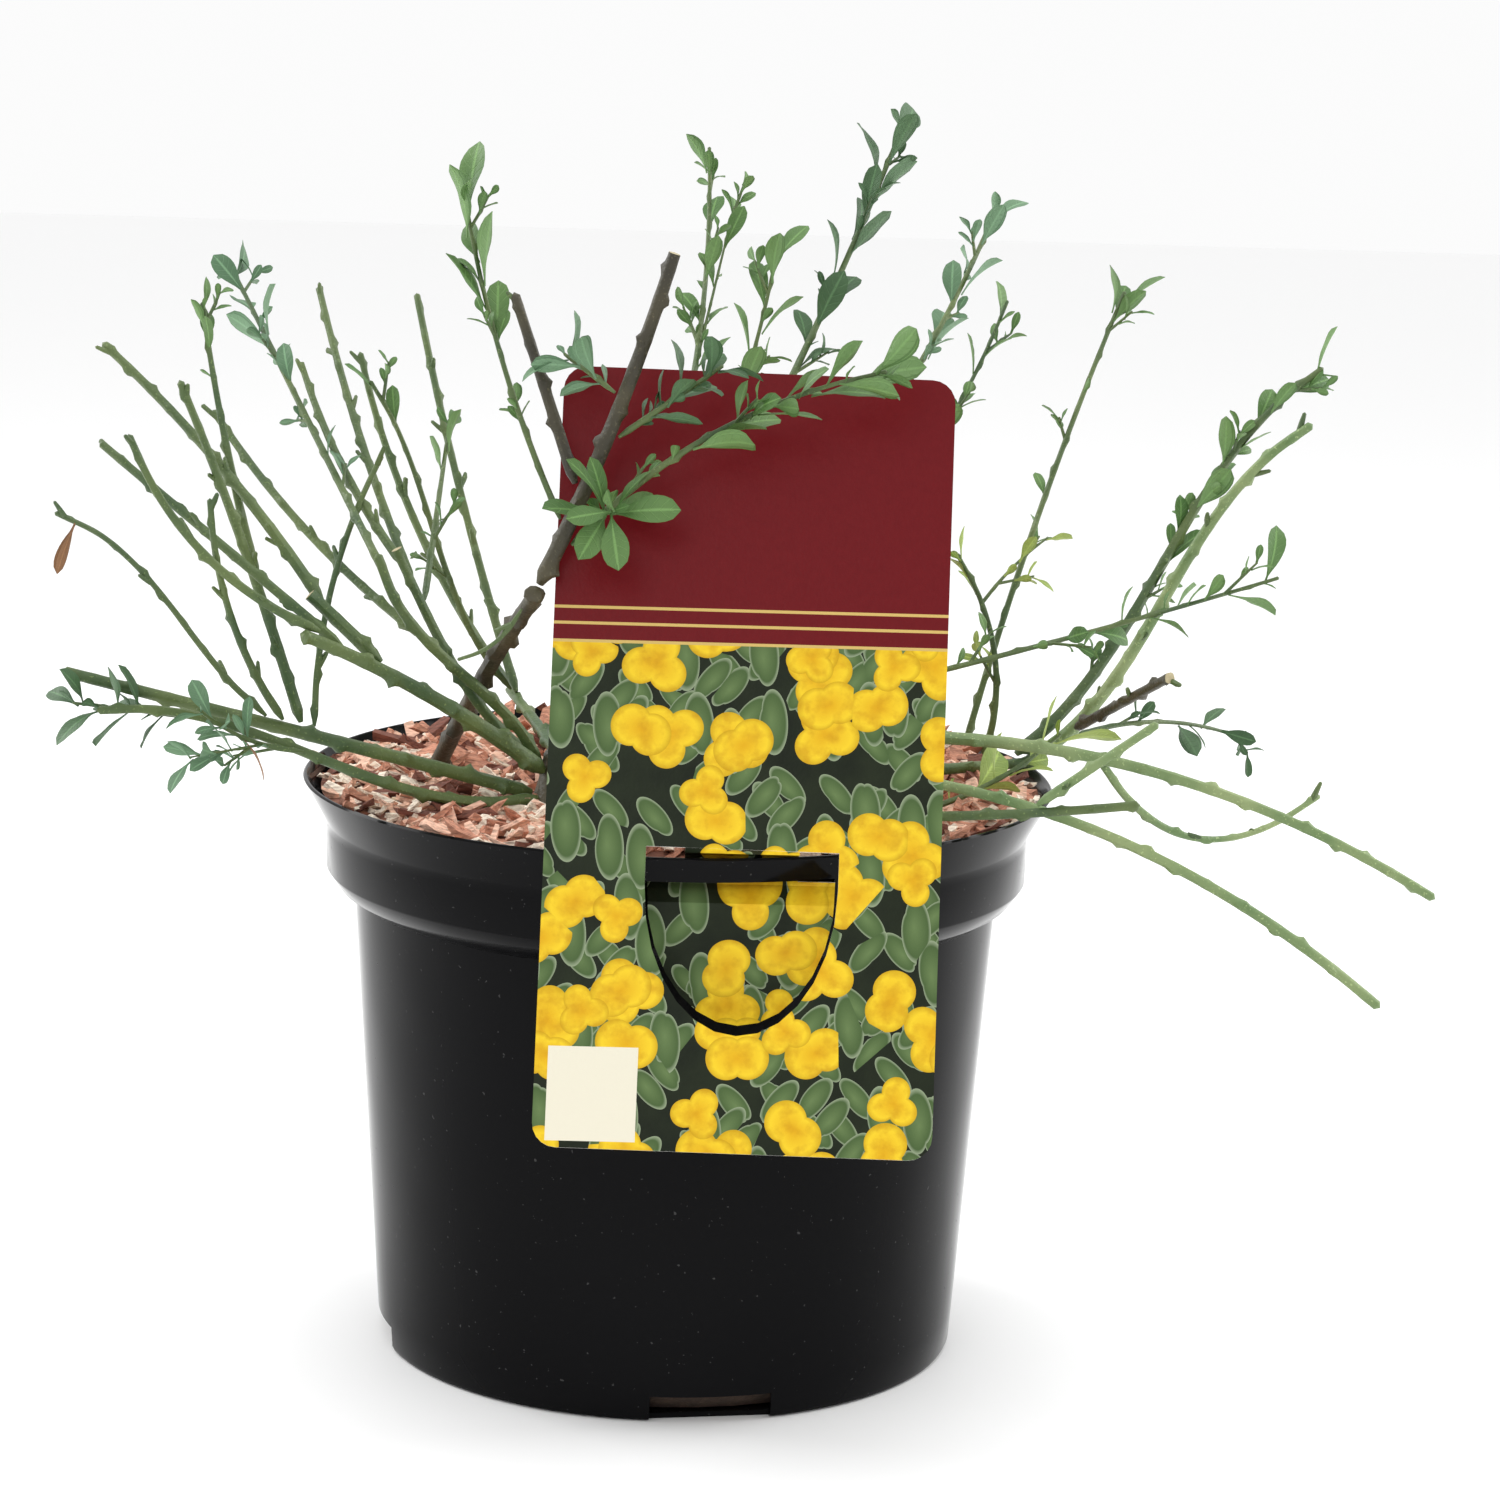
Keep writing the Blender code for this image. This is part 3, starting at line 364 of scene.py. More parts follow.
pot_profile = [
    (0, WALL),
    (FOOT_RADIUS - WALL - FOOT_EDGE, WALL),
    (FOOT_RADIUS - WALL, WALL + FOOT_EDGE),
    (WALL_TOP_RADIUS - WALL, WALL_TOP + 0.4),
    (SHOULDER_RADIUS - WALL, SHOULDER_HEIGHT + 0.7),
    (COLLAR_RADIUS - WALL, COLLAR_FOOT + 0.6),
    (COLLAR_RADIUS - WALL, COLLAR_TOP),
    (LIP_RADIUS - WALL, POT_HEIGHT - LIP_EDGE),
    (LIP_RADIUS - WALL + LIP_EDGE, POT_HEIGHT),
    (LIP_RADIUS - LIP_EDGE, POT_HEIGHT),
    (LIP_RADIUS, POT_HEIGHT - LIP_EDGE),
    (COLLAR_RADIUS + 1.0, COLLAR_TOP + 1.4),
    (COLLAR_RADIUS + 0.5, COLLAR_TOP + 0.2),
    (COLLAR_RADIUS + 0.1, COLLAR_TOP - 0.5),
    (COLLAR_RADIUS, SLOT_BOTTOM - 0.4),
    (COLLAR_RADIUS, COLLAR_FOOT + BEAD),
    (COLLAR_RADIUS - BEAD, COLLAR_FOOT - 0.2),
    (SHOULDER_RADIUS, SHOULDER_HEIGHT),
    (SHOULDER_RADIUS - 2.4, SHOULDER_HEIGHT - 1.3),
    (WALL_TOP_RADIUS, WALL_HEAD),
    *wall_rings(0.9, 0.7, 0.5, 0.3, 0.15, 0.07),
    (FOOT_RADIUS, FOOT_EDGE),
    (FOOT_RADIUS - 0.5, 0.5),
    (FOOT_RADIUS - FOOT_EDGE, 0),
    (0, 0),
]
pot_mesh = turned_mesh("pot_shell", pot_profile, POT_STEPS)
shell = linked("pot_shell", pot_mesh)
front = POT_TURN - 90
slot_middle = (SLOT_BOTTOM + SLOT_TOP) / 2
slot_size = (SLOT_WIDTH, SLOT_DEPTH, SLOT_TOP - SLOT_BOTTOM)
cutters = [box_cutter("slot", front, LIP_RADIUS - 3, slot_middle, slot_size)]
for index in range(RECESSES):
    heading = front + 360 / RECESSES * index
    cutters.append(box_cutter(f"recess_{index}", heading, FOOT_RADIUS, 0, RECESS_SIZE))
for cutter in cutters:
    boolean = shell.modifiers.new(cutter.name, "BOOLEAN")
    boolean.operation = "DIFFERENCE"
    boolean.object = cutter
pot_mesh = settled(shell)
for cutter in cutters:
    bpy.data.objects.remove(cutter)
shade_smooth(pot_mesh, 35)

pot_paint = Paint("black_plastic", 0.14)
pot_paint.shader.inputs["Specular IOR Level"].default_value = 0.06
where = pot_paint.place()
dust = pot_paint.noise(where, DUST_SCALE, 2) > DUST_LIMIT
cloud = pot_paint.noise(where, 30, 3)
pot_paint.colour(pot_paint.mix(dust * 0.35, (0.0035, 0.0035, 0.004), (0.12, 0.12, 0.12)))
pot_paint.rough(cloud * 0.10 + 0.05 + dust * 0.3)
pot_paint.bump(pot_paint.noise(where, 14, 2), 0.0012)
add_piece("pot_shell", pot_mesh, pot_paint, "pot_black", "pot")

# %% [markdown]
# The potting mix only shows through the drainage recesses. It is dark, damp and crumbly, which a rough
# noise in colour and height gives.

# %% Potting mix
mix_paint = Paint("potting_mix_crumbs", 0.95)
where = mix_paint.place()
crumbs = mix_paint.noise(where, 420, 6)
mix_paint.colour(mix_paint.mix(crumbs, (0.008, 0.005, 0.003), (0.07, 0.04, 0.025)))
mix_paint.bump(crumbs, 0.001)
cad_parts["potting_mix"].material_slots[0].material = mix_paint.material
print("potting mix painted")

# %% [markdown]
# The mulch is shredded wood: flat fibrous slivers, from a few millimetres to two centimetres long, that
# lie at all angles up to the rim. Geometry Nodes scatter a bent sliver over a low mound, turn and size
# each one by a seed, and make the copies real. Chips that would run through the lip or behind the label
# are taken away. Four tints, each scattered by itself, keep the colours plain.

# %% Mulch chips
MULCH_EDGE = 128.5
MULCH_RISE = 1.5
MOUND_RADIUS = 82.0
MOUND_RINGS = 8
MOUND_STEPS = 96
CHIP_LIFT = 0.4
BED_RADIUS = 81.0
BED_SINK = 0.9
BED_FOOT_RADIUS = 79.8
BED_FOOT = 125.6
RIM_REACH = 87.5
LIP_INSIDE = 82.8
LABEL_CLEARING_FRONT = -76.0
LABEL_CLEARING_SIDES = (-14.0, 42.0)
CHIP_SIZE = (10.0, 3.4, 1.1)
CHIP_BEND = 0.9
CHIP_TAPER = 0.35
RAGGED_SIDES = 0.12
RAGGED_ENDS = 0.9
RAGGED_FACES = 0.2
CHIP_TURNS = ((-0.5, -0.45, 0.0), (0.5, 0.45, 6.283))
CHIP_SCALES = ((0.45, 0.35, 0.6), (1.7, 1.1, 1.2))
FIRST_CHIP_SEED = 3
# Each tint has a name, a colour, a number of chips and a size.
CHIP_TINTS = [
    ("chips_dark", (0.16, 0.055, 0.035), 170, 1.4),
    ("chips_red", (0.50, 0.23, 0.15), 460, 1.2),
    ("chips_pink", (0.74, 0.46, 0.34), 760, 0.95),
    ("chips_pale", (0.88, 0.68, 0.56), 700, 0.8),
]


def mulch_top(radius):
    return MULCH_EDGE + MULCH_RISE * (1 - (radius / LIP_RADIUS) ** 2)


def sliver(name):
    """A flat split sliver with ragged ends and a slight bend."""
    body = bmesh.new()
    bmesh.ops.create_cube(body, size=1.0)
    bmesh.ops.scale(body, vec=CHIP_SIZE, verts=body.verts)
    half_length = CHIP_SIZE[0] / 2
    long_edges = [e for e in body.edges if abs(e.verts[0].co.x - e.verts[1].co.x) > half_length]
    bmesh.ops.subdivide_edges(body, edges=long_edges, cuts=3)
    dice = random.Random(name)
    for vert in body.verts:
        along_it = vert.co.x / half_length
        vert.co.z += CHIP_BEND * along_it**2
        vert.co.y *= 1 - CHIP_TAPER * abs(along_it) + dice.uniform(-RAGGED_SIDES, RAGGED_SIDES)
        vert.co.x += dice.uniform(-RAGGED_ENDS, RAGGED_ENDS)
        vert.co.z += dice.uniform(-RAGGED_FACES, RAGGED_FACES)
    mesh = bpy.data.meshes.new(name)
    body.to_mesh(mesh)
    body.free()
    mesh.transform(Matrix.Scale(MM, 4))
    return linked(name, mesh)


def chip_tree(name, chip, material):
    """Scatters a chip over a surface. The sockets are the count per square metre, the size and the seed."""
    tree = bpy.data.node_groups.new(name, "GeometryNodeTree")
    tree.interface.new_socket("Geometry", in_out="INPUT", socket_type="NodeSocketGeometry")
    for label, kind in (("Density", "Float"), ("Size", "Float"), ("Seed", "Int")):
        tree.interface.new_socket(label, in_out="INPUT", socket_type=f"NodeSocket{kind}")
    tree.interface.new_socket("Geometry", in_out="OUTPUT", socket_type="NodeSocketGeometry")

    def node(kind, **values):
        made = tree.nodes.new(kind)
        for key, value in values.items():
            if isinstance(value, bpy.types.NodeSocket):
                tree.links.new(value, made.inputs[key])
            else:
                made.inputs[key].default_value = value
        return made

    given = tree.nodes.new("NodeGroupInput")
    points = node("GeometryNodeDistributePointsOnFaces", Mesh=given.outputs["Geometry"],
                  Density=given.outputs["Density"], Seed=given.outputs["Seed"])

    def chance(low, high):
        made = tree.nodes.new("FunctionNodeRandomValue")
        made.data_type = "FLOAT_VECTOR"
        made.inputs[0].default_value = low
        made.inputs[1].default_value = high
        tree.links.new(given.outputs["Seed"], made.inputs["Seed"])
        return made.outputs[0]

    turns = chance(*CHIP_TURNS)
    scale = tree.nodes.new("ShaderNodeVectorMath")
    scale.operation = "SCALE"
    tree.links.new(chance(*CHIP_SCALES), scale.inputs[0])
    tree.links.new(given.outputs["Size"], scale.inputs["Scale"])
    source = node("GeometryNodeObjectInfo", Object=chip)
    copies = node("GeometryNodeInstanceOnPoints", Points=points.outputs["Points"],
                  Instance=source.outputs["Geometry"], Rotation=turns, Scale=scale.outputs[0])
    real = node("GeometryNodeRealizeInstances", Geometry=copies.outputs[0])
    finish = node("GeometryNodeSetMaterial", Geometry=real.outputs[0], Material=material)
    result = tree.nodes.new("NodeGroupOutput")
    tree.links.new(finish.outputs[0], result.inputs[0])
    return tree


def drop_strays(mesh, chip_verts):
    """Takes away the chips that reach too far over the rim, run into the lip, or lie behind the label."""
    body = bmesh.new()
    body.from_mesh(mesh)
    body.verts.ensure_lookup_table()
    strays = []
    for start in range(0, len(body.verts), chip_verts):
        chip = body.verts[start:start + chip_verts]
        over_rim = max(math.hypot(v.co.x, v.co.y) for v in chip) > RIM_REACH * MM
        low = [v for v in chip if v.co.z < (POT_HEIGHT + 0.2) * MM]
        in_lip = any(math.hypot(v.co.x, v.co.y) > LIP_INSIDE * MM for v in low)
        forward = min(v.co.y for v in chip) < LABEL_CLEARING_FRONT * MM
        between = LABEL_CLEARING_SIDES[0] * MM < chip[0].co.x < LABEL_CLEARING_SIDES[1] * MM
        if over_rim or in_lip or (forward and between):
            strays += chip
    bmesh.ops.delete(body, geom=strays, context="VERTS")
    body.to_mesh(mesh)
    body.free()


def scatter_chips(name, base, paint, count, size, seed):
    chip = sliver(f"{name}_sliver")
    host = linked(name, base.copy())
    modifier = host.modifiers.new("Scatter", "NODES")
    modifier.node_group = chip_tree(f"{name}_tree", chip, paint.material)
    sockets = {item.name: item.identifier for item in modifier.node_group.interface.items_tree}
    area = math.pi * (MOUND_RADIUS * MM) ** 2
    modifier[sockets["Density"]] = count / area
    modifier[sockets["Size"]] = size
    modifier[sockets["Seed"]] = seed
    mesh = settled(host)
    drop_strays(mesh, len(chip.data.vertices))
    bpy.data.objects.remove(chip)
    return mesh


def wood_paint(name, colour):
    paint = Paint(name, 0.85)
    fibres = paint.noise(paint.place(scale=(1, 3, 3)), 420, 5, 0.4)
    dark = tuple(0.55 * c for c in colour)
    pale = tuple(min(1.0, 1.3 * c) for c in colour)
    paint.colour(paint.mix(paint.between(fibres, 0.3, 0.6), dark, pale))
    paint.bump(fibres, 0.0006)
    return paint


mound_radii = [MOUND_RADIUS * i / MOUND_RINGS for i in range(MOUND_RINGS + 1)]
mound_profile = [(radius, mulch_top(radius) + CHIP_LIFT) for radius in mound_radii]
mound = turned_mesh("mound", mound_profile, MOUND_STEPS)
bed_profile = [(min(radius, BED_RADIUS), height - BED_SINK) for radius, height in mound_profile]
bed_profile += [(BED_FOOT_RADIUS, BED_FOOT), (0, BED_FOOT)]
bed = turned_mesh("mulch_bed", bed_profile, MOUND_STEPS)
shade_smooth(bed)
add_piece("mulch_bed", bed, wood_paint("mulch_fines", (0.24, 0.10, 0.065)), "wood_chips", "wood_mulch")
for seed, (name, colour, count, size) in enumerate(CHIP_TINTS, FIRST_CHIP_SEED):
    paint = wood_paint(f"{name}_wood", colour)
    add_piece(name, scatter_chips(name, mound, paint, count, size, seed), paint, "wood_chips")

# %% [markdown]
# The label is printed card: a maroon head with thin gold lines, a lower part with yellow flowers and grey
# green leaves on dark, and a bare cream square. The picture is a generic one. Cells are scattered over
# the card, and round the middle of each a petal shape is worked out from the angle and the distance. The
# tongue reads the same coordinates as the card, so the picture runs on over it. The card's edges and back
# are white.

# %% Label
LABEL_WIDTH = 83.0
LABEL_UP = 104.0
LABEL_DOWN = 61.0
LABEL_THICK = 0.7
LABEL_LEAN = 19.0
LABEL_TURN = 0.75
LABEL_X = 13.8
LABEL_Y = -85.9
HEADER_FOOT = 45.5
GOLD_LINES = (53.0, 49.6, 45.8)
GOLD_HALF_WIDTH = 0.32
SQUARE_ACROSS = (-38.8, -20.1)
SQUARE_UP = (-59.0, -39.4)
# Each set of printed leaves has a slant, a spacing and a shift.
PRINTED_LEAVES = ((0.9, 8.5, 31.0), (-0.8, 8.0, 59.0), (0.1, 9.0, 5.0))
PRINTED_LEAF_REACH = 3.6
PRINTED_LEAF_WIDE = 0.45
LEAF_CHANCE = 0.3
# Each set of printed flowers has a spacing, a reach, a shift and a number of petals.
PRINTED_FLOWERS = ((19.0, 7.4, 11.0, 3), (17.0, 6.6, 47.0, 2), (21.0, 5.6, 83.0, 3))
FLOWER_CHANCE = 0.42
FRONT_FACING = -0.35
SHIFT_UP = 1.7
CELL_SCATTER = 0.8
LOBE_DEPTH = 0.42
LOBE_LEAST = 0.58
LOBE_TURN = 6.3


def petals(paint, across, up_card, spacing, reach, shift, count):
    """A mask of scattered flowers, the share of the way to the edge, and each one's random number."""
    spot = paint.node("ShaderNodeCombineXYZ", {}, {0: across + shift, 1: up_card + shift * SHIFT_UP})
    middle, tint = paint.cells(Value(paint, spot.outputs[0]), 1 / spacing, CELL_SCATTER)
    middle_x, middle_y, _ = paint.split(middle)
    chance, _, _ = paint.split(tint)
    side = (across + shift) - middle_x
    rise = (up_card + shift * SHIFT_UP) - middle_y
    angle = rise.maths("ARCTAN2", rise, side)
    lobes = (angle * count / 2 + chance * LOBE_TURN).cosine().size() * LOBE_DEPTH + LOBE_LEAST
    radius = (side * side + rise * rise).root()
    return (radius < lobes * reach), radius / (lobes * reach), chance


def box_mask(value, low, high):
    return (value > low) * (value < high)


card = Paint("printed_card", 0.42)
card.shader.inputs["Specular IOR Level"].default_value = 0.12
lean = math.radians(LABEL_LEAN)
flat = card.place(scale=(1 / MM, 1 / MM, 1 / MM))
card_x, _, card_z = card.split(flat)
rise = (card_z - POT_HEIGHT) / math.cos(lean)
across = (card_x - LABEL_X) - rise * math.sin(math.radians(LABEL_TURN))
picture = card.mix(card.noise(flat, 0.12, 3), (0.004, 0.006, 0.004), (0.022, 0.030, 0.014))
for slant, spacing, shift in PRINTED_LEAVES:
    leaf_x = across + rise * slant
    leaf_y = (rise - across * slant) * PRINTED_LEAF_WIDE
    leaf_mask, leaf_run, chance = petals(card, leaf_x, leaf_y, spacing, PRINTED_LEAF_REACH, shift, 1)
    green = card.mix(leaf_run, (0.13, 0.20, 0.075), (0.055, 0.10, 0.032))
    green = card.mix(card.between(leaf_run, 0.84, 0.98), green, (0.26, 0.32, 0.20))
    picture = card.mix(leaf_mask * (chance > LEAF_CHANCE), picture, green)
for spacing, reach, shift, count in PRINTED_FLOWERS:
    bloom, run, chance = petals(card, across, rise, spacing, reach, shift, count)
    shown = bloom * (chance > FLOWER_CHANCE)
    yellow = card.mix(run, (0.70, 0.38, 0.01), (0.88, 0.64, 0.03))
    shade = card.noise(flat, 0.35, 3)
    yellow = card.mix(card.between(shade, 0.45, 0.7) * 0.6, yellow, (0.55, 0.27, 0.008))
    yellow = card.mix(card.between(run, 0.78, 1.0) * 0.75, yellow, (0.50, 0.27, 0.006))
    picture = card.mix(shown, picture, yellow)
header = card.mix(card.noise(flat, 0.6, 3), (0.125, 0.005, 0.008), (0.150, 0.007, 0.010))
print_colour = card.mix(rise > HEADER_FOOT, picture, header)
for line in GOLD_LINES:
    stripe = box_mask(rise, line - GOLD_HALF_WIDTH, line + GOLD_HALF_WIDTH)
    print_colour = card.mix(stripe, print_colour, (0.62, 0.44, 0.14))
square = box_mask(across, *SQUARE_ACROSS) * box_mask(rise, *SQUARE_UP)
print_colour = card.mix(square, print_colour, (0.78, 0.74, 0.60))
normal = Value(card, card.node("ShaderNodeNewGeometry").outputs["Normal"])
_, facing, _ = card.split(normal)
card.colour(card.mix(facing < FRONT_FACING, (0.82, 0.80, 0.76), print_colour))
card.rough(card.noise(flat, 0.4, 3) * 0.12 + 0.3)
card.bump(card.noise(flat, 1.4, 3), 0.00005)
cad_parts["plant_label"].material_slots[0].material = card.material
print("label printed")

# %% [markdown]
# The limbs grow by the same rule as in the solid model. A limb is known by the heading, reach and height
# of its tip, by how thick it starts, and by how much it bows on the way. It starts on the short crown, on
# another limb, or in the mulch. Writing the rule again keeps every cane where the solid has it.

# %% The growth rule
CLEAR = 0.3
CROWN_X = -22.0
CROWN_Y = -28.0
CROWN_BASE = mulch_top(math.hypot(CROWN_X, CROWN_Y)) + CLEAR
CROWN_HEIGHT = 13.0
CROWN_FLARE_RADIUS = 11.0
CROWN_RADIUS = 8.0
CROWN_TOP_RING = 5.0
CANE_STEP = 10.0
HEEL_LENGTH = 2.5
HEEL_SHARE = 0.45
TIP_SHARE = 0.72
TWIG_TIP_SHARE = 0.5
GOLDEN_ANGLE = 137.5
LEAF_WIDTH_SHARE = 0.34
LEAF_WIDEST = 0.6
CROWN_FOOT_GAP = 0.2
STAND_SHARE = 0.8
STAND_STEP = 0.05
TWIG_THICK_SHARE = 0.75
TWIG_THICK_MORE = 0.2


def polar(heading, reach, height=0.0):
    """A place seen from the crown: its heading, its level reach, and its height above the table."""
    angle = math.radians(heading)
    return Vector((CROWN_X + reach * math.cos(angle), CROWN_Y + reach * math.sin(angle), height))


def bowed_path(foot, tip, bow, sway, shift):
    """Points from foot to tip, bowed up and sideways. The shift moves the bow towards the foot."""
    chord = tip - foot
    level = Vector((chord.x, chord.y, 0)).normalized()
    side = Vector((-level.y, level.x, 0))
    up = chord.cross(side).normalized()
    if up.z < 0:
        up = -up
    count = max(4, round(chord.length / CANE_STEP))
    points = []
    for i in range(count + 1):
        t = i / count
        swell = 4 * t * (1 - t)
        points.append(foot + chord * t + up * swell * (bow + shift * (1 - 2 * t)) + side * swell * sway)
    heel = points[0].lerp(points[1], HEEL_LENGTH / (points[1] - points[0]).length)
    return [points[0], heel] + points[1:]


def tapered(points, thick, tip_share):
    """Radii along the points, from a narrow heel and then an even taper."""
    lengths = [0.0]
    for a, b in zip(points, points[1:]):
        lengths.append(lengths[-1] + (b - a).length)
    radii = [thick / 2 * (1 - (1 - tip_share) * length / lengths[-1]) for length in lengths]
    radii[0] *= HEEL_SHARE
    return radii


def gap_between(points, radii, others, other_radii):
    """The least room between two limbs, from their middle lines and radii."""
    least = 1e9
    for point, radius in zip(points, radii):
        for i in range(len(others) - 1):
            near, share = intersect_point_line(point, others[i], others[i + 1])
            share = min(1.0, max(0.0, share))
            near = others[i].lerp(others[i + 1], share)
            reach = other_radii[i] + (other_radii[i + 1] - other_radii[i]) * share
            least = min(least, (point - near).length - radius - reach)
    return least


def path_length(points):
    return sum((b - a).length for a, b in zip(points, points[1:]))


def along(points, share):
    """The point at a share of a path's length, and the direction there."""
    left = share * path_length(points)
    for a, b in zip(points, points[1:]):
        step = (b - a).length
        if left <= step or b is points[-1]:
            return a.lerp(b, min(1.0, left / step)), (b - a).normalized()
        left -= step


def subdivided(points, radii, count=3):
    """The same limb with more stations, for measuring the room beside it."""
    fine, fine_radii = [], []
    for i in range(len(points) - 1):
        for k in range(count):
            fine.append(points[i].lerp(points[i + 1], k / count))
            fine_radii.append(radii[i] + (radii[i + 1] - radii[i]) * k / count)
    return fine + [points[-1]], fine_radii + [radii[-1]]


def crown_radius(level):
    """The crown's radius at a level above the mulch."""
    share = min(1.0, level / CROWN_HEIGHT)
    return CROWN_RADIUS + (CROWN_FLARE_RADIUS - CROWN_RADIUS) * (1 - share) ** 2


def crown_foot(heading, level=None):
    """A foot on the crown: on its side at a level above the mulch, or on top where no level is given."""
    if level is None:
        return polar(heading, CROWN_TOP_RING, CROWN_BASE + CROWN_HEIGHT + CLEAR)
    return polar(heading, crown_radius(level) + CLEAR + CROWN_FOOT_GAP, CROWN_BASE + level)


def mulch_foot(place, tip, thick):
    """A foot on the mulch, high enough for the heel's lowest edge to be clear of it."""
    foot = polar(*place)
    lean = (tip - foot).normalized()
    drop = thick / 2 * HEEL_SHARE * math.sqrt(1 - lean.z**2)
    foot.z = mulch_top(math.hypot(foot.x, foot.y)) + CLEAR + drop
    return foot


class Plant:
    """The limbs made so far, by name, as (points, radii) in millimetres."""

    def __init__(self):
        self.limbs = {}

    def grow(self, name, heading, reach, height, thick, **how):
        """Works out a limb's points and radii. It starts on another limb, on the mulch or on the crown."""
        tip = polar(heading, reach, height)
        tip_share = how.get("tip_share", TIP_SHARE)
        bend = [how.get(key, 0.0) for key in ("bow", "sway", "shift")]
        if "on" in how:
            points = self.shoot_path(how["on"], tip, thick, tip_share, bend)
        elif "mulch" in how:
            points = bowed_path(mulch_foot(how["mulch"], tip, thick), tip, *bend)
        else:
            points = bowed_path(crown_foot(*how["crown"]), tip, *bend)
        self.limbs[name] = (points, tapered(points, thick, tip_share))

    def fork(self, name, parent, at, tip, bow):
        """Works out a side twig of a spray. It starts at its stem's middle line, to be fused there."""
        points, radii = self.limbs[parent]
        foot, _ = along(points, at)
        path = bowed_path(foot, tip, bow, 0.0, 0.0)
        thick = TWIG_THICK_SHARE * 2 * radii[-1] + TWIG_THICK_MORE
        self.limbs[name] = (path, [thick / 2] + tapered(path, thick, TWIG_TIP_SHARE)[1:])

    def shoot_path(self, start, tip, thick, tip_share, bend):
        """A shoot's points. It stands off its parent just far enough to be clear of it."""
        parent, at = start
        parent_points, parent_radii = self.limbs[parent]
        middle, direction = along(parent_points, at)
        out = tip - middle
        out = (out - direction * out.dot(direction)).normalized()
        stand = parent_radii[-1] * STAND_SHARE + CLEAR
        while True:
            points = bowed_path(middle + out * stand, tip, *bend)
            radii = tapered(points, thick, tip_share)
            fine = subdivided(points[:4], radii[:4])
            if gap_between(*fine, parent_points, parent_radii) >= CLEAR:
                return points
            stand += STAND_STEP


print("crown stands at", round(CROWN_BASE, 2), "mm")

# %% [markdown]
# These rows are the plant itself: the boughs, the canes that leave them, and the leafy sprays. They were
# read off the photograph one limb at a time, each as a direction and a length in millimetres. A row gives
# a limb's name, the heading, reach and height of its tip, its thickness, and then where it starts and how
# it bends. It starts on the crown at a heading and a level, or on the crown's top where there is no level,
# in the mulch at a heading and a reach, or on another limb at a share of that one's length. A spray also
# has a rule for its leaves.

# %% Limbs of the plant
# How many leaves, on which shares of the twig, how long, and by how many degrees they lean off the twig.
Leafy = namedtuple("Leafy", "count first last shortest longest spread", defaults=(40,))

BOUGHS = [
    ("bough_left_upper", -165, 113, 162, 3.2, dict(crown=(-172, 2.5))),
    ("bough_left_lower", -161, 107, 155, 2.6, dict(crown=(-146, 2.2), bow=-1, shift=-9)),
    ("bough_left_stout", -150, 67, 172, 3.8, dict(crown=(-150, 8), bow=2)),
    ("bough_left_mid", -157, 47.5, 187, 2.7, dict(crown=(-170, 9.5), bow=-2, shift=5)),
    ("bough_left_inner", -168, 41.5, 187, 2.5, dict(crown=(157, 8), bow=-4, shift=-2)),
    ("bough_back", 102, 92, 138, 3.0, dict(crown=(102, 4), bow=1)),
    ("bough_front", -101, 45, 184, 3.8, dict(mulch=(140, 44), bow=4, sway=1.5, tip_share=0.9)),
    ("bough_front_upper", -67.5, 48, 256, 3.4, dict(on=("bough_front", 0.985), bow=-1.5, tip_share=0.75)),
    ("bough_right_main", 19, 112, 135, 3.2, dict(crown=(22, 4), bow=-1)),
    ("bough_right_long", -3, 189, 116, 3.0, dict(crown=(-2, 7), bow=20)),
    ("bough_right_low", -17, 179, 102, 2.8, dict(crown=(-25, 6), bow=20, sway=2)),
    ("bough_right_front", -22, 128, 143, 2.6, dict(crown=(-50, 2.5), bow=-3)),
]

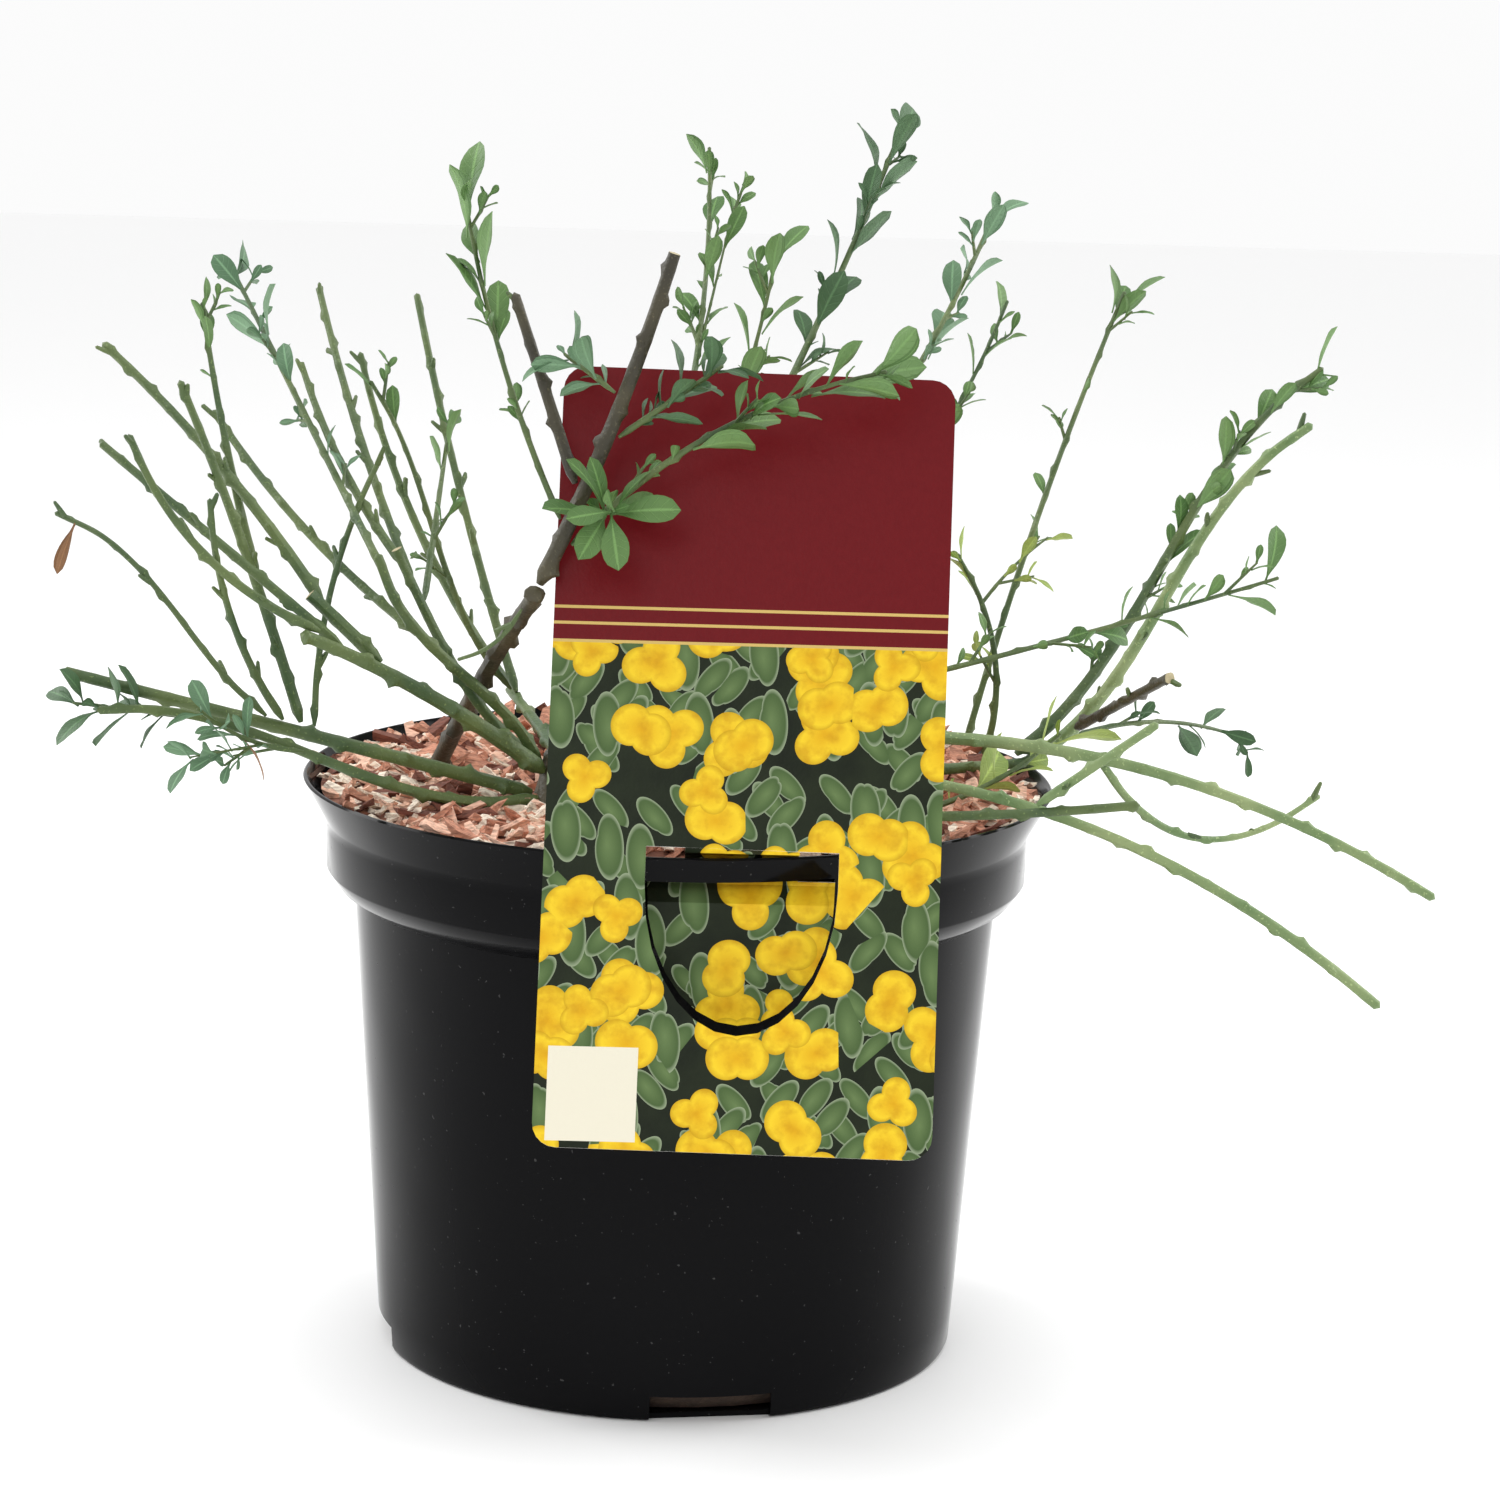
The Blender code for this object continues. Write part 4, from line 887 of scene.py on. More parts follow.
CANES = [
    ("cane_left_stout", -159, 62, 179, 2.8, dict(on=("bough_left_stout", 0.7), tip_share=0.9)),
    ("cane_left_high", 176, 106, 228, 2.4, dict(on=("cane_left_stout", 0.85), bow=2, sway=-1)),
    ("cane_left_mid", -170.5, 104.5, 209.5, 2.2, dict(on=("bough_left_stout", 0.85))),
    ("cane_left_near", -156, 103, 214.5, 2.2, dict(on=("bough_left_stout", 0.95), bow=-6, sway=-1)),
    ("cane_left_behind", 156, 93, 210, 2.2, dict(on=("bough_left_mid", 0.64), bow=-3, sway=1)),
    ("cane_left_thin", -179, 115, 192, 1.5, dict(on=("bough_left_upper", 0.58), bow=3, shift=-5)),
    ("cane_left_short", -154, 86.5, 201, 1.8, dict(on=("bough_left_upper", 0.55), bow=-3, sway=-2)),
    ("cane_left_tall", -169, 88, 223, 2.3, dict(on=("bough_left_upper", 0.51), bow=1)),
    ("cane_left_crossing", 169, 46, 205, 1.6, dict(on=("bough_left_upper", 0.48), bow=2, sway=3)),
    ("cane_inner_first", 153, 73, 222, 2.0, dict(on=("bough_left_inner", 0.93), bow=-1.5, sway=1.5)),
    ("cane_inner_second", 140, 82, 237, 2.1, dict(on=("bough_left_inner", 0.86), bow=-1, sway=1)),
    ("cane_back_left", 118, 122, 216, 2.2, dict(on=("bough_back", 0.97), bow=-4, sway=2)),
    ("cane_back_tall", 110, 131, 229, 2.2, dict(on=("bough_back", 0.86), bow=-1, sway=1)),
    ("cane_front_dark", -115, 35, 245, 2.5, dict(on=("bough_front_upper", 0.3), tip_share=0.85)),
    ("cane_front_thin", -126, 43, 168, 1.1, dict(on=("bough_front", 0.93), bow=-2)),
    ("cane_right_tall", 1, 158, 218, 2.8, dict(on=("bough_right_main", 0.985), bow=1, shift=-8)),
    ("cane_right_dark", -7.5, 129, 165, 2.5, dict(on=("cane_right_tall", 0.12), tip_share=0.85)),
    ("cane_right_near", -23, 132, 161, 2.2, dict(on=("bough_right_front", 0.82), tip_share=0.85)),
    ("cane_right_arched", 8, 169, 131, 1.8, dict(on=("bough_right_long", 0.57), bow=-14)),
]

SPRAYS = [
    ("spray_left_tip", -163, 112, 156, 1.3, (9, 0.25, 0.97, 9, 13, 62), dict(on=("bough_left_lower", 0.8))),
    (
        "spray_left_low", -156, 88, 156, 1.3, (5, 0.5, 0.97, 8, 12, 60),
        dict(on=("bough_left_lower", 0.55), bow=-2),
    ),
    (
        "spray_left_tall", 171.5, 86, 237, 2.2, (4, 0.8, 0.97, 7, 10, 25),
        dict(on=("cane_left_tall", 0.42), sway=1),
    ),
    ("spray_left_crown", 141, 108, 239, 1.9, (7, 0.6, 0.98, 10, 16, 32), dict(on=("bough_left_mid", 0.93))),
    (
        "spray_back_left", 124, 94, 213, 2.0, (2, 0.85, 0.97, 8, 10, 25),
        dict(on=("bough_back", 0.92), bow=-1.5, shift=-5),
    ),
    ("spray_inner", 138, 42, 211, 1.5, (3, 0.7, 0.97, 8, 12, 30), dict(on=("bough_left_inner", 0.78))),
    (
        "spray_front_left", -139.5, 34, 263, 1.5, (6, 0.58, 0.98, 10, 17, 24),
        dict(on=("bough_front_upper", 0.19), bow=-1.5, sway=1.5),
    ),
    (
        "spray_front_high", -96, 39, 234, 1.3, (6, 0.3, 0.97, 9, 13, 65),
        dict(on=("bough_front_upper", 0.58)),
    ),
    (
        "spray_front_side", -57, 53, 233, 1.5, (9, 0.3, 0.97, 9, 13, 55),
        dict(on=("bough_front_upper", 0.47)),
    ),
    (
        "spray_front_long", -36.5, 78, 233, 1.7, (12, 0.45, 0.98, 11, 17, 38),
        dict(on=("bough_front_upper", 0.14), bow=6),
    ),
    ("spray_top_first", 74, 92, 269, 1.8, (5, 0.62, 0.95, 9, 13, 35), dict(crown=(105,), bow=-3, sway=-8)),
    (
        "spray_top_second", 49, 63, 250, 1.6, (8, 0.66, 0.98, 10, 14, 42),
        dict(crown=(145,), bow=-5, sway=-5),
    ),
    (
        "spray_top_third", 49.5, 109, 277, 2.2, (12, 0.6, 0.98, 10, 17, 34),
        dict(crown=(62,), bow=-3, sway=-2),
    ),
    (
        "spray_top_fourth", 50, 148, 255, 2.0, (9, 0.66, 0.98, 10, 15, 34),
        dict(crown=(22,), bow=-8, sway=-5),
    ),
    (
        "spray_top_fifth", 31.5, 111, 238, 1.6, (6, 0.7, 0.97, 7, 10, 45),
        dict(crown=(-18,), bow=-12, sway=-5),
    ),
    (
        "spray_right_back", 38, 159, 237, 1.8, (4, 0.93, 0.98, 10, 14, 38),
        dict(mulch=(38.5, 114), bow=1.5, sway=1),
    ),
    (
        "spray_right_tall", 17.5, 175, 225, 3.0, (10, 0.5, 0.98, 8, 14, 30),
        dict(on=("bough_right_main", 0.93), bow=1, shift=-9),
    ),
    ("spray_right_level", 1.5, 153, 184, 1.6, (8, 0.68, 0.98, 8, 13, 55), dict(crown=(-62,), bow=-2)),
    ("spray_right_rim", 4, 107, 147, 1.6, (6, 0.45, 0.97, 11, 17, 45), dict(mulch=(-2, 71), bow=-3)),
    (
        "spray_right_low", 23.5, 170, 135, 1.3, (4, 0.6, 0.97, 8, 12, 40),
        dict(on=("cane_right_tall", 0.07), bow=4),
    ),
    (
        "spray_right_twisted", 34, 103, 179, 2.0, (3, 0.8, 0.97, 7, 10, 35),
        dict(mulch=(33.5, 112), bow=5, sway=3),
    ),
    ("spray_back_first", 84, 100, 198, 2.0, (9, 0.5, 0.98, 10, 15, 38), dict(crown=(84, 10), bow=6)),
    ("spray_back_second", 60, 118, 186, 2.0, (9, 0.5, 0.98, 10, 15, 38), dict(crown=(60, 9), bow=8)),
    ("spray_back_third", 70, 84, 172, 1.8, (8, 0.45, 0.98, 10, 14, 42), dict(crown=(71, 4.5), bow=8)),
]

# A twig has its spray's name, its place along it, the heading, reach and height of its tip, its bow and
# a rule for its leaves.
TWIGS = [
    ("spray_left_low", 0.35, -152, 92, 147, 0, (5, 0.4, 0.97, 8, 12)),
    ("spray_front_long", 0.12, -82, 51, 203, 0, (9, 0.2, 0.97, 11, 16, 75)),
    ("spray_top_first", 0.62, 69, 88, 256, 0, (4, 0.3, 0.97, 8, 12)),
    ("spray_right_twisted", 0.75, 32.5, 127, 182, 1, (2, 0.6, 0.97, 7, 9)),
]


plant = Plant()
for name, heading, reach, height, thick, how in BOUGHS + CANES:
    plant.grow(name, heading, reach, height, thick, **how)
for name, heading, reach, height, thick, _, how in SPRAYS:
    plant.grow(name, heading, reach, height, thick, tip_share=TWIG_TIP_SHARE, **how)
for spray, at, heading, reach, height, bow, _ in TWIGS:
    plant.fork(f"{spray}_twig_0", spray, at, polar(heading, reach, height), bow)
print(len(BOUGHS), "boughs,", len(CANES), "canes,", len(plant.limbs), "limbs in all")

# %% [markdown]
# Leaves stand round a twig by the golden angle, each a little off its place by chance. A leaf that would
# run into the pot, the label or a neighbour is turned on round the twig, and left out if that doesn't
# help. The seeds and the order are those of the solid model, so each of its leaves has a finished one in
# the same place.

# %% Room for the leaves
# Where a leaf's room is measured, as shares of its length.
LEAF_STATIONS = (0.2, 0.4, 0.6, 0.8, 1.0)
LEAF_LIFT = 0.12
LEAST_LEVEL = 0.05
LAST_LEAF = 0.985
SHARE_STRAY = 0.012
TURN_STRAY = 18
ROLL_STRAY = 50
SPREAD_TIMES = (0.75, 1.2)


def label_frame():
    """The label's own frame: X across, Y up the card, at the height of the lip."""
    upright = Matrix.Rotation(math.radians(90 - LABEL_LEAN), 4, "X")
    turn = Matrix.Rotation(math.radians(-LABEL_TURN), 4, "Z")
    return Matrix.Translation((LABEL_X * MM, LABEL_Y * MM, POT_HEIGHT * MM)) @ upright @ turn


def leaf_turns(rule, dice):
    """Leaf places by rule: up the twig, turned by the golden angle, each a little off it by chance."""
    start = dice.uniform(0, 360)
    for i in range(rule.count):
        share = rule.first + (rule.last - rule.first) * (i / max(1, rule.count - 1))
        yield {
            "share": min(LAST_LEAF, share + dice.uniform(-SHARE_STRAY, SHARE_STRAY)),
            "turn": start + GOLDEN_ANGLE * i + dice.uniform(-TURN_STRAY, TURN_STRAY),
            "spread": rule.spread * dice.uniform(*SPREAD_TIMES),
            "length": dice.uniform(rule.shortest, rule.longest),
            "roll": dice.uniform(-ROLL_STRAY, ROLL_STRAY),
        }


def leaf_axes(direction, turn, spread, roll):
    """The way a leaf points and the way across its blade, from its twig's direction."""
    level = direction.cross(Vector((0, 0, 1)))
    level = level.normalized() if level.length > LEAST_LEVEL else Vector((1, 0, 0))
    other = direction.cross(level)
    out = level * math.cos(math.radians(turn)) + other * math.sin(math.radians(turn))
    lean = math.radians(spread)
    points_to = direction * math.cos(lean) + out * math.sin(lean) + Vector((0, 0, LEAF_LIFT))
    points_to.normalize()
    across = points_to.cross(out).normalized()
    across.rotate(Matrix.Rotation(math.radians(roll), 3, points_to))
    return points_to, across


def leaf_stations(root, points_to, length):
    """Points along a leaf with its half width there."""
    for share in LEAF_STATIONS:
        widen = share / LEAF_WIDEST if share < LEAF_WIDEST else (1 - share) / (1 - LEAF_WIDEST)
        yield root + points_to * length * share, length * LEAF_WIDTH_SHARE / 2 * widen


def clear_of_pot(point, half):
    """Whether a point with this much round it is clear of the pot and the mulch."""
    radius = math.hypot(point.x, point.y)
    if radius < LIP_RADIUS + half + CLEAR:
        return point.z > POT_HEIGHT + half + CLEAR
    return True


def clear_of_label(point, half, into_label):
    place = into_label @ (point * MM) / MM
    across = abs(place.x) - LABEL_WIDTH / 2
    up = max(place.y - LABEL_UP, -LABEL_DOWN - place.y)
    return max(across, up, abs(place.z) - LABEL_THICK / 2) > half + CLEAR


class LeafRoom:
    """What the leaves have to keep clear of: limbs, pot, label and the leaves of other sprays."""

    def __init__(self, limbs):
        self.limbs = limbs
        self.leaves = {}
        self.into_label = label_frame().inverted()

    def holds(self, owner, root, points_to, length):
        for point, half in leaf_stations(root, points_to, length):
            if not clear_of_pot(point, half) or not clear_of_label(point, half, self.into_label):
                return False
            for name, (points, radii) in self.limbs.items():
                if not name.startswith(owner) and gap_between([point], [half], points, radii) < CLEAR:
                    return False
            for name, stations in self.leaves.items():
                near = ((point - other).length < half + wide + CLEAR for other, wide in stations)
                if name != owner and any(near):
                    return False
        return True

    def take(self, owner, root, points_to, length):
        self.leaves.setdefault(owner, []).extend(leaf_stations(root, points_to, length))


room = LeafRoom(plant.limbs)
print("leaves keep clear of", len(room.limbs), "limbs")

# %% [markdown]
# A broom's canes are ridged, with a small bud at every node, each on another side than the last. A limb
# is made as rings about a millimetre apart along a smoothed path. Each ring's radius gets a ridge term
# and a bud term, which costs less than sculpting and keeps the relief in the mesh. Cut ends get a pale
# cap. The crown is turned like the pot, and then made lumpy.

# %% Canes and twigs
CANE_SIDES = 12
TWIG_SIDES = 8
STATION = 1.1
RIDGES = 4
RIDGE_DEPTH = 0.07
BUD_STEP = 7.5
BUD_STEP_TIMES = (0.8, 1.2)
FIRST_BUD = 3.0
BUD_RISE = 0.85
BUD_HALF_LENGTH = 0.95
KNOT_RISE = 0.05
RIDGE_TWIST = 0.03
CUT_LIFT = 0.05
CUT_RISE = 0.25
TIP_RISE = 0.9
CROWN_STEPS = 48
CROWN_RINGS = 12
CROWN_EDGE_RADIUS = 1.5
CROWN_EDGE_HEIGHT = 2.0
WIDE_LUMP = 0.05
NARROW_LUMP = 0.03
LUMP_TWIST = 700
SPECK_SCALE = 1500
SPECK_LIMIT = 0.66
DARK_LIMBS = ("bough_front", "bough_front_upper", "cane_front_dark", "cane_right_dark")
PALE_LIMBS = (
    "cane_right_arched", "cane_right_tall", "bough_right_long", "bough_right_low", "cane_right_near",
)
CUT_LIMBS = (
    "cane_left_stout", "bough_front_upper", "cane_right_dark", "bough_left_inner", "cane_inner_first",
)


def smoothed(points, radii):
    """Stations along a smooth curve through the points, with their radii."""
    stations, widths = [], []
    count = len(points)
    for i in range(count - 1):
        a = points[max(0, i - 1)]
        b, c = points[i], points[i + 1]
        d = points[min(count - 1, i + 2)]
        limit = (c - b).length
        leave = (c - a).normalized() * limit
        arrive = (d - b).normalized() * limit
        steps = max(1, round(limit / STATION))
        for k in range(steps):
            t = k / steps
            t2, t3 = t * t, t * t * t
            place = b * (2 * t3 - 3 * t2 + 1) + leave * (t3 - 2 * t2 + t)
            place += c * (3 * t2 - 2 * t3) + arrive * (t3 - t2)
            stations.append(place)
            widths.append(radii[i] + (radii[i + 1] - radii[i]) * t)
    return stations + [points[-1]], widths + [radii[-1]]


class MeshParts:
    """Vertices, faces and texture places that are gathered into one mesh."""

    def __init__(self):
        self.verts, self.faces, self.places = [], [], []

    def add(self, verts, faces, places=None):
        start = len(self.verts)
        self.verts += verts
        self.faces += [tuple(i + start for i in face) for face in faces]
        self.places += places or [(0.0, 0.0)] * len(verts)

    def mesh(self, name):
        made = bpy.data.meshes.new(name)
        made.from_pydata([tuple(v * MM) for v in self.verts], [], self.faces)
        layer = made.uv_layers.new(name="place")
        corner_verts = np.zeros(len(made.loops), dtype=np.int32)
        made.loops.foreach_get("vertex_index", corner_verts)
        layer.data.foreach_set("uv", np.array(self.places, dtype=np.float32)[corner_verts].ravel())
        made.validate()
        shade_smooth(made, 50)
        return made


cuts = MeshParts()


def limb_rings(parts, name, points, radii, sides):
    """Adds a ridged tube with buds. Its end is rounded, or flat under a pale cap where it was cut."""
    dice = random.Random(name)
    stations, widths = smoothed(points, radii)
    ways = [(b - a).normalized() for a, b in zip(stations, stations[1:])]
    ways.append(ways[-1])
    out = ways[0].orthogonal().normalized()
    twist = dice.uniform(0, 6.28)
    bud_at = dice.uniform(FIRST_BUD, BUD_STEP)
    bud_turn = dice.uniform(0, 6.28)
    run = 0.0
    verts, faces, ring = [], [], []
    for i, (place, width, way) in enumerate(zip(stations, widths, ways)):
        if i:
            run += (place - stations[i - 1]).length
        if run > bud_at + BUD_STEP / 2:
            bud_at += BUD_STEP * dice.uniform(*BUD_STEP_TIMES)
            bud_turn += math.radians(GOLDEN_ANGLE)
        out = (out - way * out.dot(way)).normalized()
        side = way.cross(out)
        near_bud = math.exp(-(((run - bud_at) / BUD_HALF_LENGTH) ** 2))
        knot = 1 + KNOT_RISE * near_bud
        ring = []
        for k in range(sides):
            angle = math.tau * k / sides
            ridge = RIDGE_DEPTH * math.cos(RIDGES * angle + twist + run * RIDGE_TWIST)
            bud = BUD_RISE * near_bud * max(0.0, math.cos(angle - bud_turn)) ** 3
            reach = width * (knot + ridge + bud)
            verts.append(place + (out * math.cos(angle) + side * math.sin(angle)) * reach)
            ring.append(len(verts) - 1)
        if i:
            below = len(verts) - 2 * sides
            for k in range(sides):
                after = (k + 1) % sides
                faces.append((below + k, below + after, ring[after], ring[k]))
    faces.append(tuple(reversed(range(sides))))
    if name in CUT_LIMBS:
        cut_ring = [verts[i] + ways[-1] * CUT_LIFT for i in ring]
        cut_middle = stations[-1] + ways[-1] * CUT_RISE
        cuts.add(cut_ring + [cut_middle], [(k, (k + 1) % sides, sides) for k in range(sides)])
        faces.append(tuple(ring))
    else:
        verts.append(stations[-1] + ways[-1] * widths[-1] * TIP_RISE)
        faces += [(ring[k], ring[(k + 1) % sides], len(verts) - 1) for k in range(sides)]
    parts.add(verts, faces)


def lighter(colour, times, more):
    return tuple(min(1, times * c + more) for c in colour)


def bark_paint(name, colour, second):
    """Bark: a soft change of tone between two colours, pale dots, and a fine grain."""
    paint = Paint(name)
    where = paint.place()
    tone = paint.noise(where, 55, 3)
    speck = paint.noise(where, SPECK_SCALE, 2) > SPECK_LIMIT
    colours = paint.mix(paint.between(tone, 0.35, 0.65), colour, second)
    paint.colour(paint.mix(speck * 0.45, colours, lighter(second, 1.9, 0.02)))
    paint.bump(paint.noise(where, 1100, 4), 0.00025)
    return paint


def bark_of(name):
    if name in DARK_LIMBS:
        return "dark"
    return "pale" if name in PALE_LIMBS else "green"


BARKS = {
    "green": bark_paint("bark_green", (0.042, 0.085, 0.024), (0.105, 0.150, 0.042)),
    "dark": bark_paint("bark_dark", (0.022, 0.019, 0.010), (0.060, 0.050, 0.022)),
    "pale": bark_paint("bark_pale", (0.120, 0.205, 0.070), (0.260, 0.330, 0.140)),
}
for tint, paint in BARKS.items():
    tube_parts = MeshParts()
    names = [name for name, *_ in BOUGHS + CANES if bark_of(name) == tint]
    for name in names:
        limb_rings(tube_parts, name, *plant.limbs[name], CANE_SIDES)
    add_piece(f"canes_{tint}", tube_parts.mesh(f"canes_{tint}"), paint, "cane_bark", *names)

crown_top = CROWN_BASE + CROWN_HEIGHT
crown_profile = [(0, crown_top), (CROWN_RADIUS - CROWN_EDGE_RADIUS, crown_top)]
for i in range(CROWN_RINGS, -1, -1):
    level = i / CROWN_RINGS * (CROWN_HEIGHT - CROWN_EDGE_HEIGHT)
    crown_profile.append((crown_radius(level), CROWN_BASE + level))
crown_profile.append((0, CROWN_BASE))
crown = turned_mesh("crown", crown_profile, CROWN_STEPS)
for vert in crown.vertices:
    angle = math.atan2(vert.co.y, vert.co.x)
    lump = 1 + WIDE_LUMP * math.cos(5 * angle)
    lump += NARROW_LUMP * math.sin(9 * angle + vert.co.z * LUMP_TWIST)
    vert.co.x = vert.co.x * lump + CROWN_X * MM
    vert.co.y = vert.co.y * lump + CROWN_Y * MM
shade_smooth(crown)
add_piece("crown_wood", crown, BARKS["dark"], "cane_bark", "crown_stem")
cut_paint = Paint("cut_wood", 0.8)
rings = cut_paint.noise(cut_paint.place(), 900, 3)
cut_paint.colour(cut_paint.mix(rings, (0.34, 0.28, 0.15), (0.62, 0.55, 0.36)))
add_piece("cane_cuts", cuts.mesh("cane_cuts"), cut_paint, "cane_bark")

# %% [markdown]
# A leaf is a spoon-shaped blade on a short stalk: narrow at the root, widest past its middle, round at
# the end, folded a little along its midrib and bent back along its length. It is built as eleven rings of
# eight points. Each spray takes one of four tints, and carries finer leaves, about half as long, between
# its main ones and further down.

# %% Leaves
LEAF_RINGS = 11
STALK_SHARE = 0.1
LEAF_THICK = 0.3
# Round a leaf: each point's place across the half width, and whether it is on top, at the edge or below.
LEAF_SECTION = ((-1, 0), (-0.55, 1), (0, 1), (0.55, 1), (1, 0), (0.55, -1), (0, -1), (-0.55, -1))
# On top, the texture place across a leaf goes from 0 to 1. Most of the underside is past this value.
UNDERSIDE = 1.02
LEAST_HALF_WIDTH = 0.28
TIP_HALF_WIDTH = 0.12
FOLD = 0.34
FOLD_TIMES = (0.5, 1.3)
WIDTH_TIMES = (0.98, 1.30)
DROOP_SHARES = (0.02, 0.10)
WAVE_SHARE = 0.10
BLADE_FOOT = 0.10
BLADE_SWELL = 1.35
BLADE_ROUND = 2.2
VEINS = 14
VEIN_SLANT = 5
VEIN_REACH = 0.42
TINTS = {
    "dark": ((0.030, 0.085, 0.028), (0.050, 0.120, 0.042)),
    "green": ((0.058, 0.145, 0.030), (0.100, 0.200, 0.050)),
    "blue": ((0.075, 0.165, 0.080), (0.120, 0.230, 0.120)),
    "yellow": ((0.170, 0.260, 0.035), (0.260, 0.340, 0.060)),
}
# The sprays that aren't plain green.
SPRAY_TINTS = {
    "spray_left_tip": "dark",
    "spray_left_low": "blue",
    "spray_left_crown": "blue",
    "spray_front_side": "dark",
    "spray_front_high": "blue",
    "spray_top_third": "dark",
    "spray_top_fourth": "blue",
    "spray_right_rim": "yellow",
    "spray_right_low": "dark",
    "spray_right_twisted": "yellow",
}
TRIES = 5
TRY_TURN = 73
FINE_SHARE = 0.7
FINE_FIRST = 0.6
FINE_SHORTEST = 0.3
FINE_LONGEST = 0.55
FINE_SPREAD = 48


def blade_half_width(share):
    """Half the blade's width as a share of its full width: a narrow foot and a round end."""
    if share < LEAF_WIDEST:
        swell = math.sin(math.pi / 2 * share / LEAF_WIDEST) ** BLADE_SWELL
        return 0.5 * (BLADE_FOOT + (1 - BLADE_FOOT) * swell)
    rest = (share - LEAF_WIDEST) / (1 - LEAF_WIDEST)
    return 0.5 * math.sqrt(max(0.0, 1 - rest**BLADE_ROUND))


def add_leaf(parts, dice, root, points_to, across, length, slim=1.0):
    """One closed blade. Its texture place runs along the leaf and across it, and past 1 underneath."""
    face = across.cross(points_to).normalized()
    if face.z < 0:
        face, across = -face, -across
    width = length * LEAF_WIDTH_SHARE * dice.uniform(*WIDTH_TIMES) * slim
    droop = length * dice.uniform(*DROOP_SHARES)
    fold = FOLD * dice.uniform(*FOLD_TIMES)
    wave = dice.uniform(0, 6.28)
    verts, places, faces = [], [], []
    for i in range(LEAF_RINGS):
        share = i / (LEAF_RINGS - 1)
        blade = max(0.0, (share - STALK_SHARE) / (1 - STALK_SHARE))
        half = max(width * blade_half_width(blade), LEAST_HALF_WIDTH)
        if i == LEAF_RINGS - 1:
            half = TIP_HALF_WIDTH
        middle = root + points_to * length * share - face * droop * (2 * share - 1) ** 2
        thin = LEAF_THICK * (1 - 0.5 * share)
        for x, top in LEAF_SECTION:
            lift = abs(x) * half * fold * (1 - 0.25 * abs(x))
            lift += WAVE_SHARE * half * math.sin(wave + share * 9) * x
            verts.append(middle + across * half * x + face * (lift + top * thin / 2))
            places.append((share, 0.5 + x / 2 if top >= 0 else 1.5 + x / 2))
    around = len(LEAF_SECTION)
    for low in range(0, around * (LEAF_RINGS - 1), around):
        for k in range(around):
            after = (k + 1) % around
            faces.append((low + k, low + after, low + around + after, low + around + k))
    faces.append(tuple(reversed(range(around))))
    faces.append(tuple(range(len(verts) - around, len(verts))))
    parts.add(verts, faces, places)


def leaf_paint(name, dark, pale):
    """A dull, finely haired blade: a pale midrib, side veins, and a tone that changes over the plant."""
    paint = Paint(name, 0.55)
    where = paint.place()
    spot = paint.node("ShaderNodeUVMap", {"uv_map": "place"})
    run, over, _ = paint.split(Value(paint, spot.outputs[0]))
    side = (over.maths("FRACT", over) - 0.5).size()
    rib = paint.between(side, 0.075, 0.02)
    vein = ((run * VEINS - side * VEIN_SLANT) * math.pi).cosine()
    veins = paint.between(vein, 0.80, 1.0) * (side < VEIN_REACH)
    tone = paint.mix(paint.between(paint.noise(where, 60, 3), 0.35, 0.65), dark, pale)
    veined = paint.mix(rib * 0.5 + veins * 0.16, tone, lighter(pale, 2.1, 0.03))
    paint.colour(paint.mix((over > UNDERSIDE) * 0.45, veined, lighter(pale, 1.5, 0.05)))
    paint.bump(paint.noise(where, 1400, 3) * 0.6 - veins * 0.4, 0.00018)
    return paint


leaf_paints = {tint: leaf_paint(f"leaf_{tint}", *colours) for tint, colours in TINTS.items()}
leaf_parts = {tint: MeshParts() for tint in TINTS}
leaf_nodes = {tint: [] for tint in TINTS}
twig_parts = MeshParts()


def try_leaf(owner, tint, dice, points, place, turn):
    """Adds a leaf at a place on a twig if there is room for it there, and gives its line back."""
    root, direction = along(points, place["share"])
    points_to, across = leaf_axes(direction, turn, place["spread"], place["roll"])
    line = (root, points_to, place["length"])
    if not room.holds(owner, *line):
        return None
    add_leaf(leaf_parts[tint], dice, root, points_to, across, place["length"])
    return line


stems = []
leaf_count = 0
for name, *_, numbers, _ in SPRAYS:
    tint = SPRAY_TINTS.get(name, "green")
    leaf_nodes[tint].append(name)
    dice = random.Random(name)
    shape_dice = random.Random(name + "_shape")
    rules = {name: Leafy(*numbers)}
    rules.update({f"{name}_twig_0": Leafy(*row) for spray, *_, row in TWIGS if spray == name})
    for stem, rule in rules.items():
        points, radii = plant.limbs[stem]
        limb_rings(twig_parts, stem, points, radii, TWIG_SIDES)
        stems.append((name, tint, stem, rule))
        for place in leaf_turns(rule, dice):
            for attempt in range(TRIES):
                line = try_leaf(name, tint, shape_dice, points, place, place["turn"] + TRY_TURN * attempt)
                if line:
                    room.take(name, *line)
                    leaf_count += 1
                    break
print(leaf_count, "main leaves")

fine_count = 0
for name, tint, stem, rule in stems:
    dice = random.Random(stem + "_fine")
    points, _ = plant.limbs[stem]
    fine_rule = Leafy(
        count=round(rule.count * FINE_SHARE),
        first=rule.first * FINE_FIRST,
        last=rule.last,
        shortest=rule.shortest * FINE_SHORTEST,
        longest=rule.longest * FINE_LONGEST,
        spread=FINE_SPREAD,
    )
    for place in leaf_turns(fine_rule, dice):
        if try_leaf(name, tint, dice, points, place, place["turn"]):
            fine_count += 1
print(fine_count, "fine leaves")

# %% [markdown]
# Finer twigs than the solid can carry grow on from its limbs by the same rule: thin shoots with a few
# small leaves on the sprays, and short spurs on the canes, where leaves have fallen. Each stays close to
# its own limb, and is left out where it would touch a neighbour.

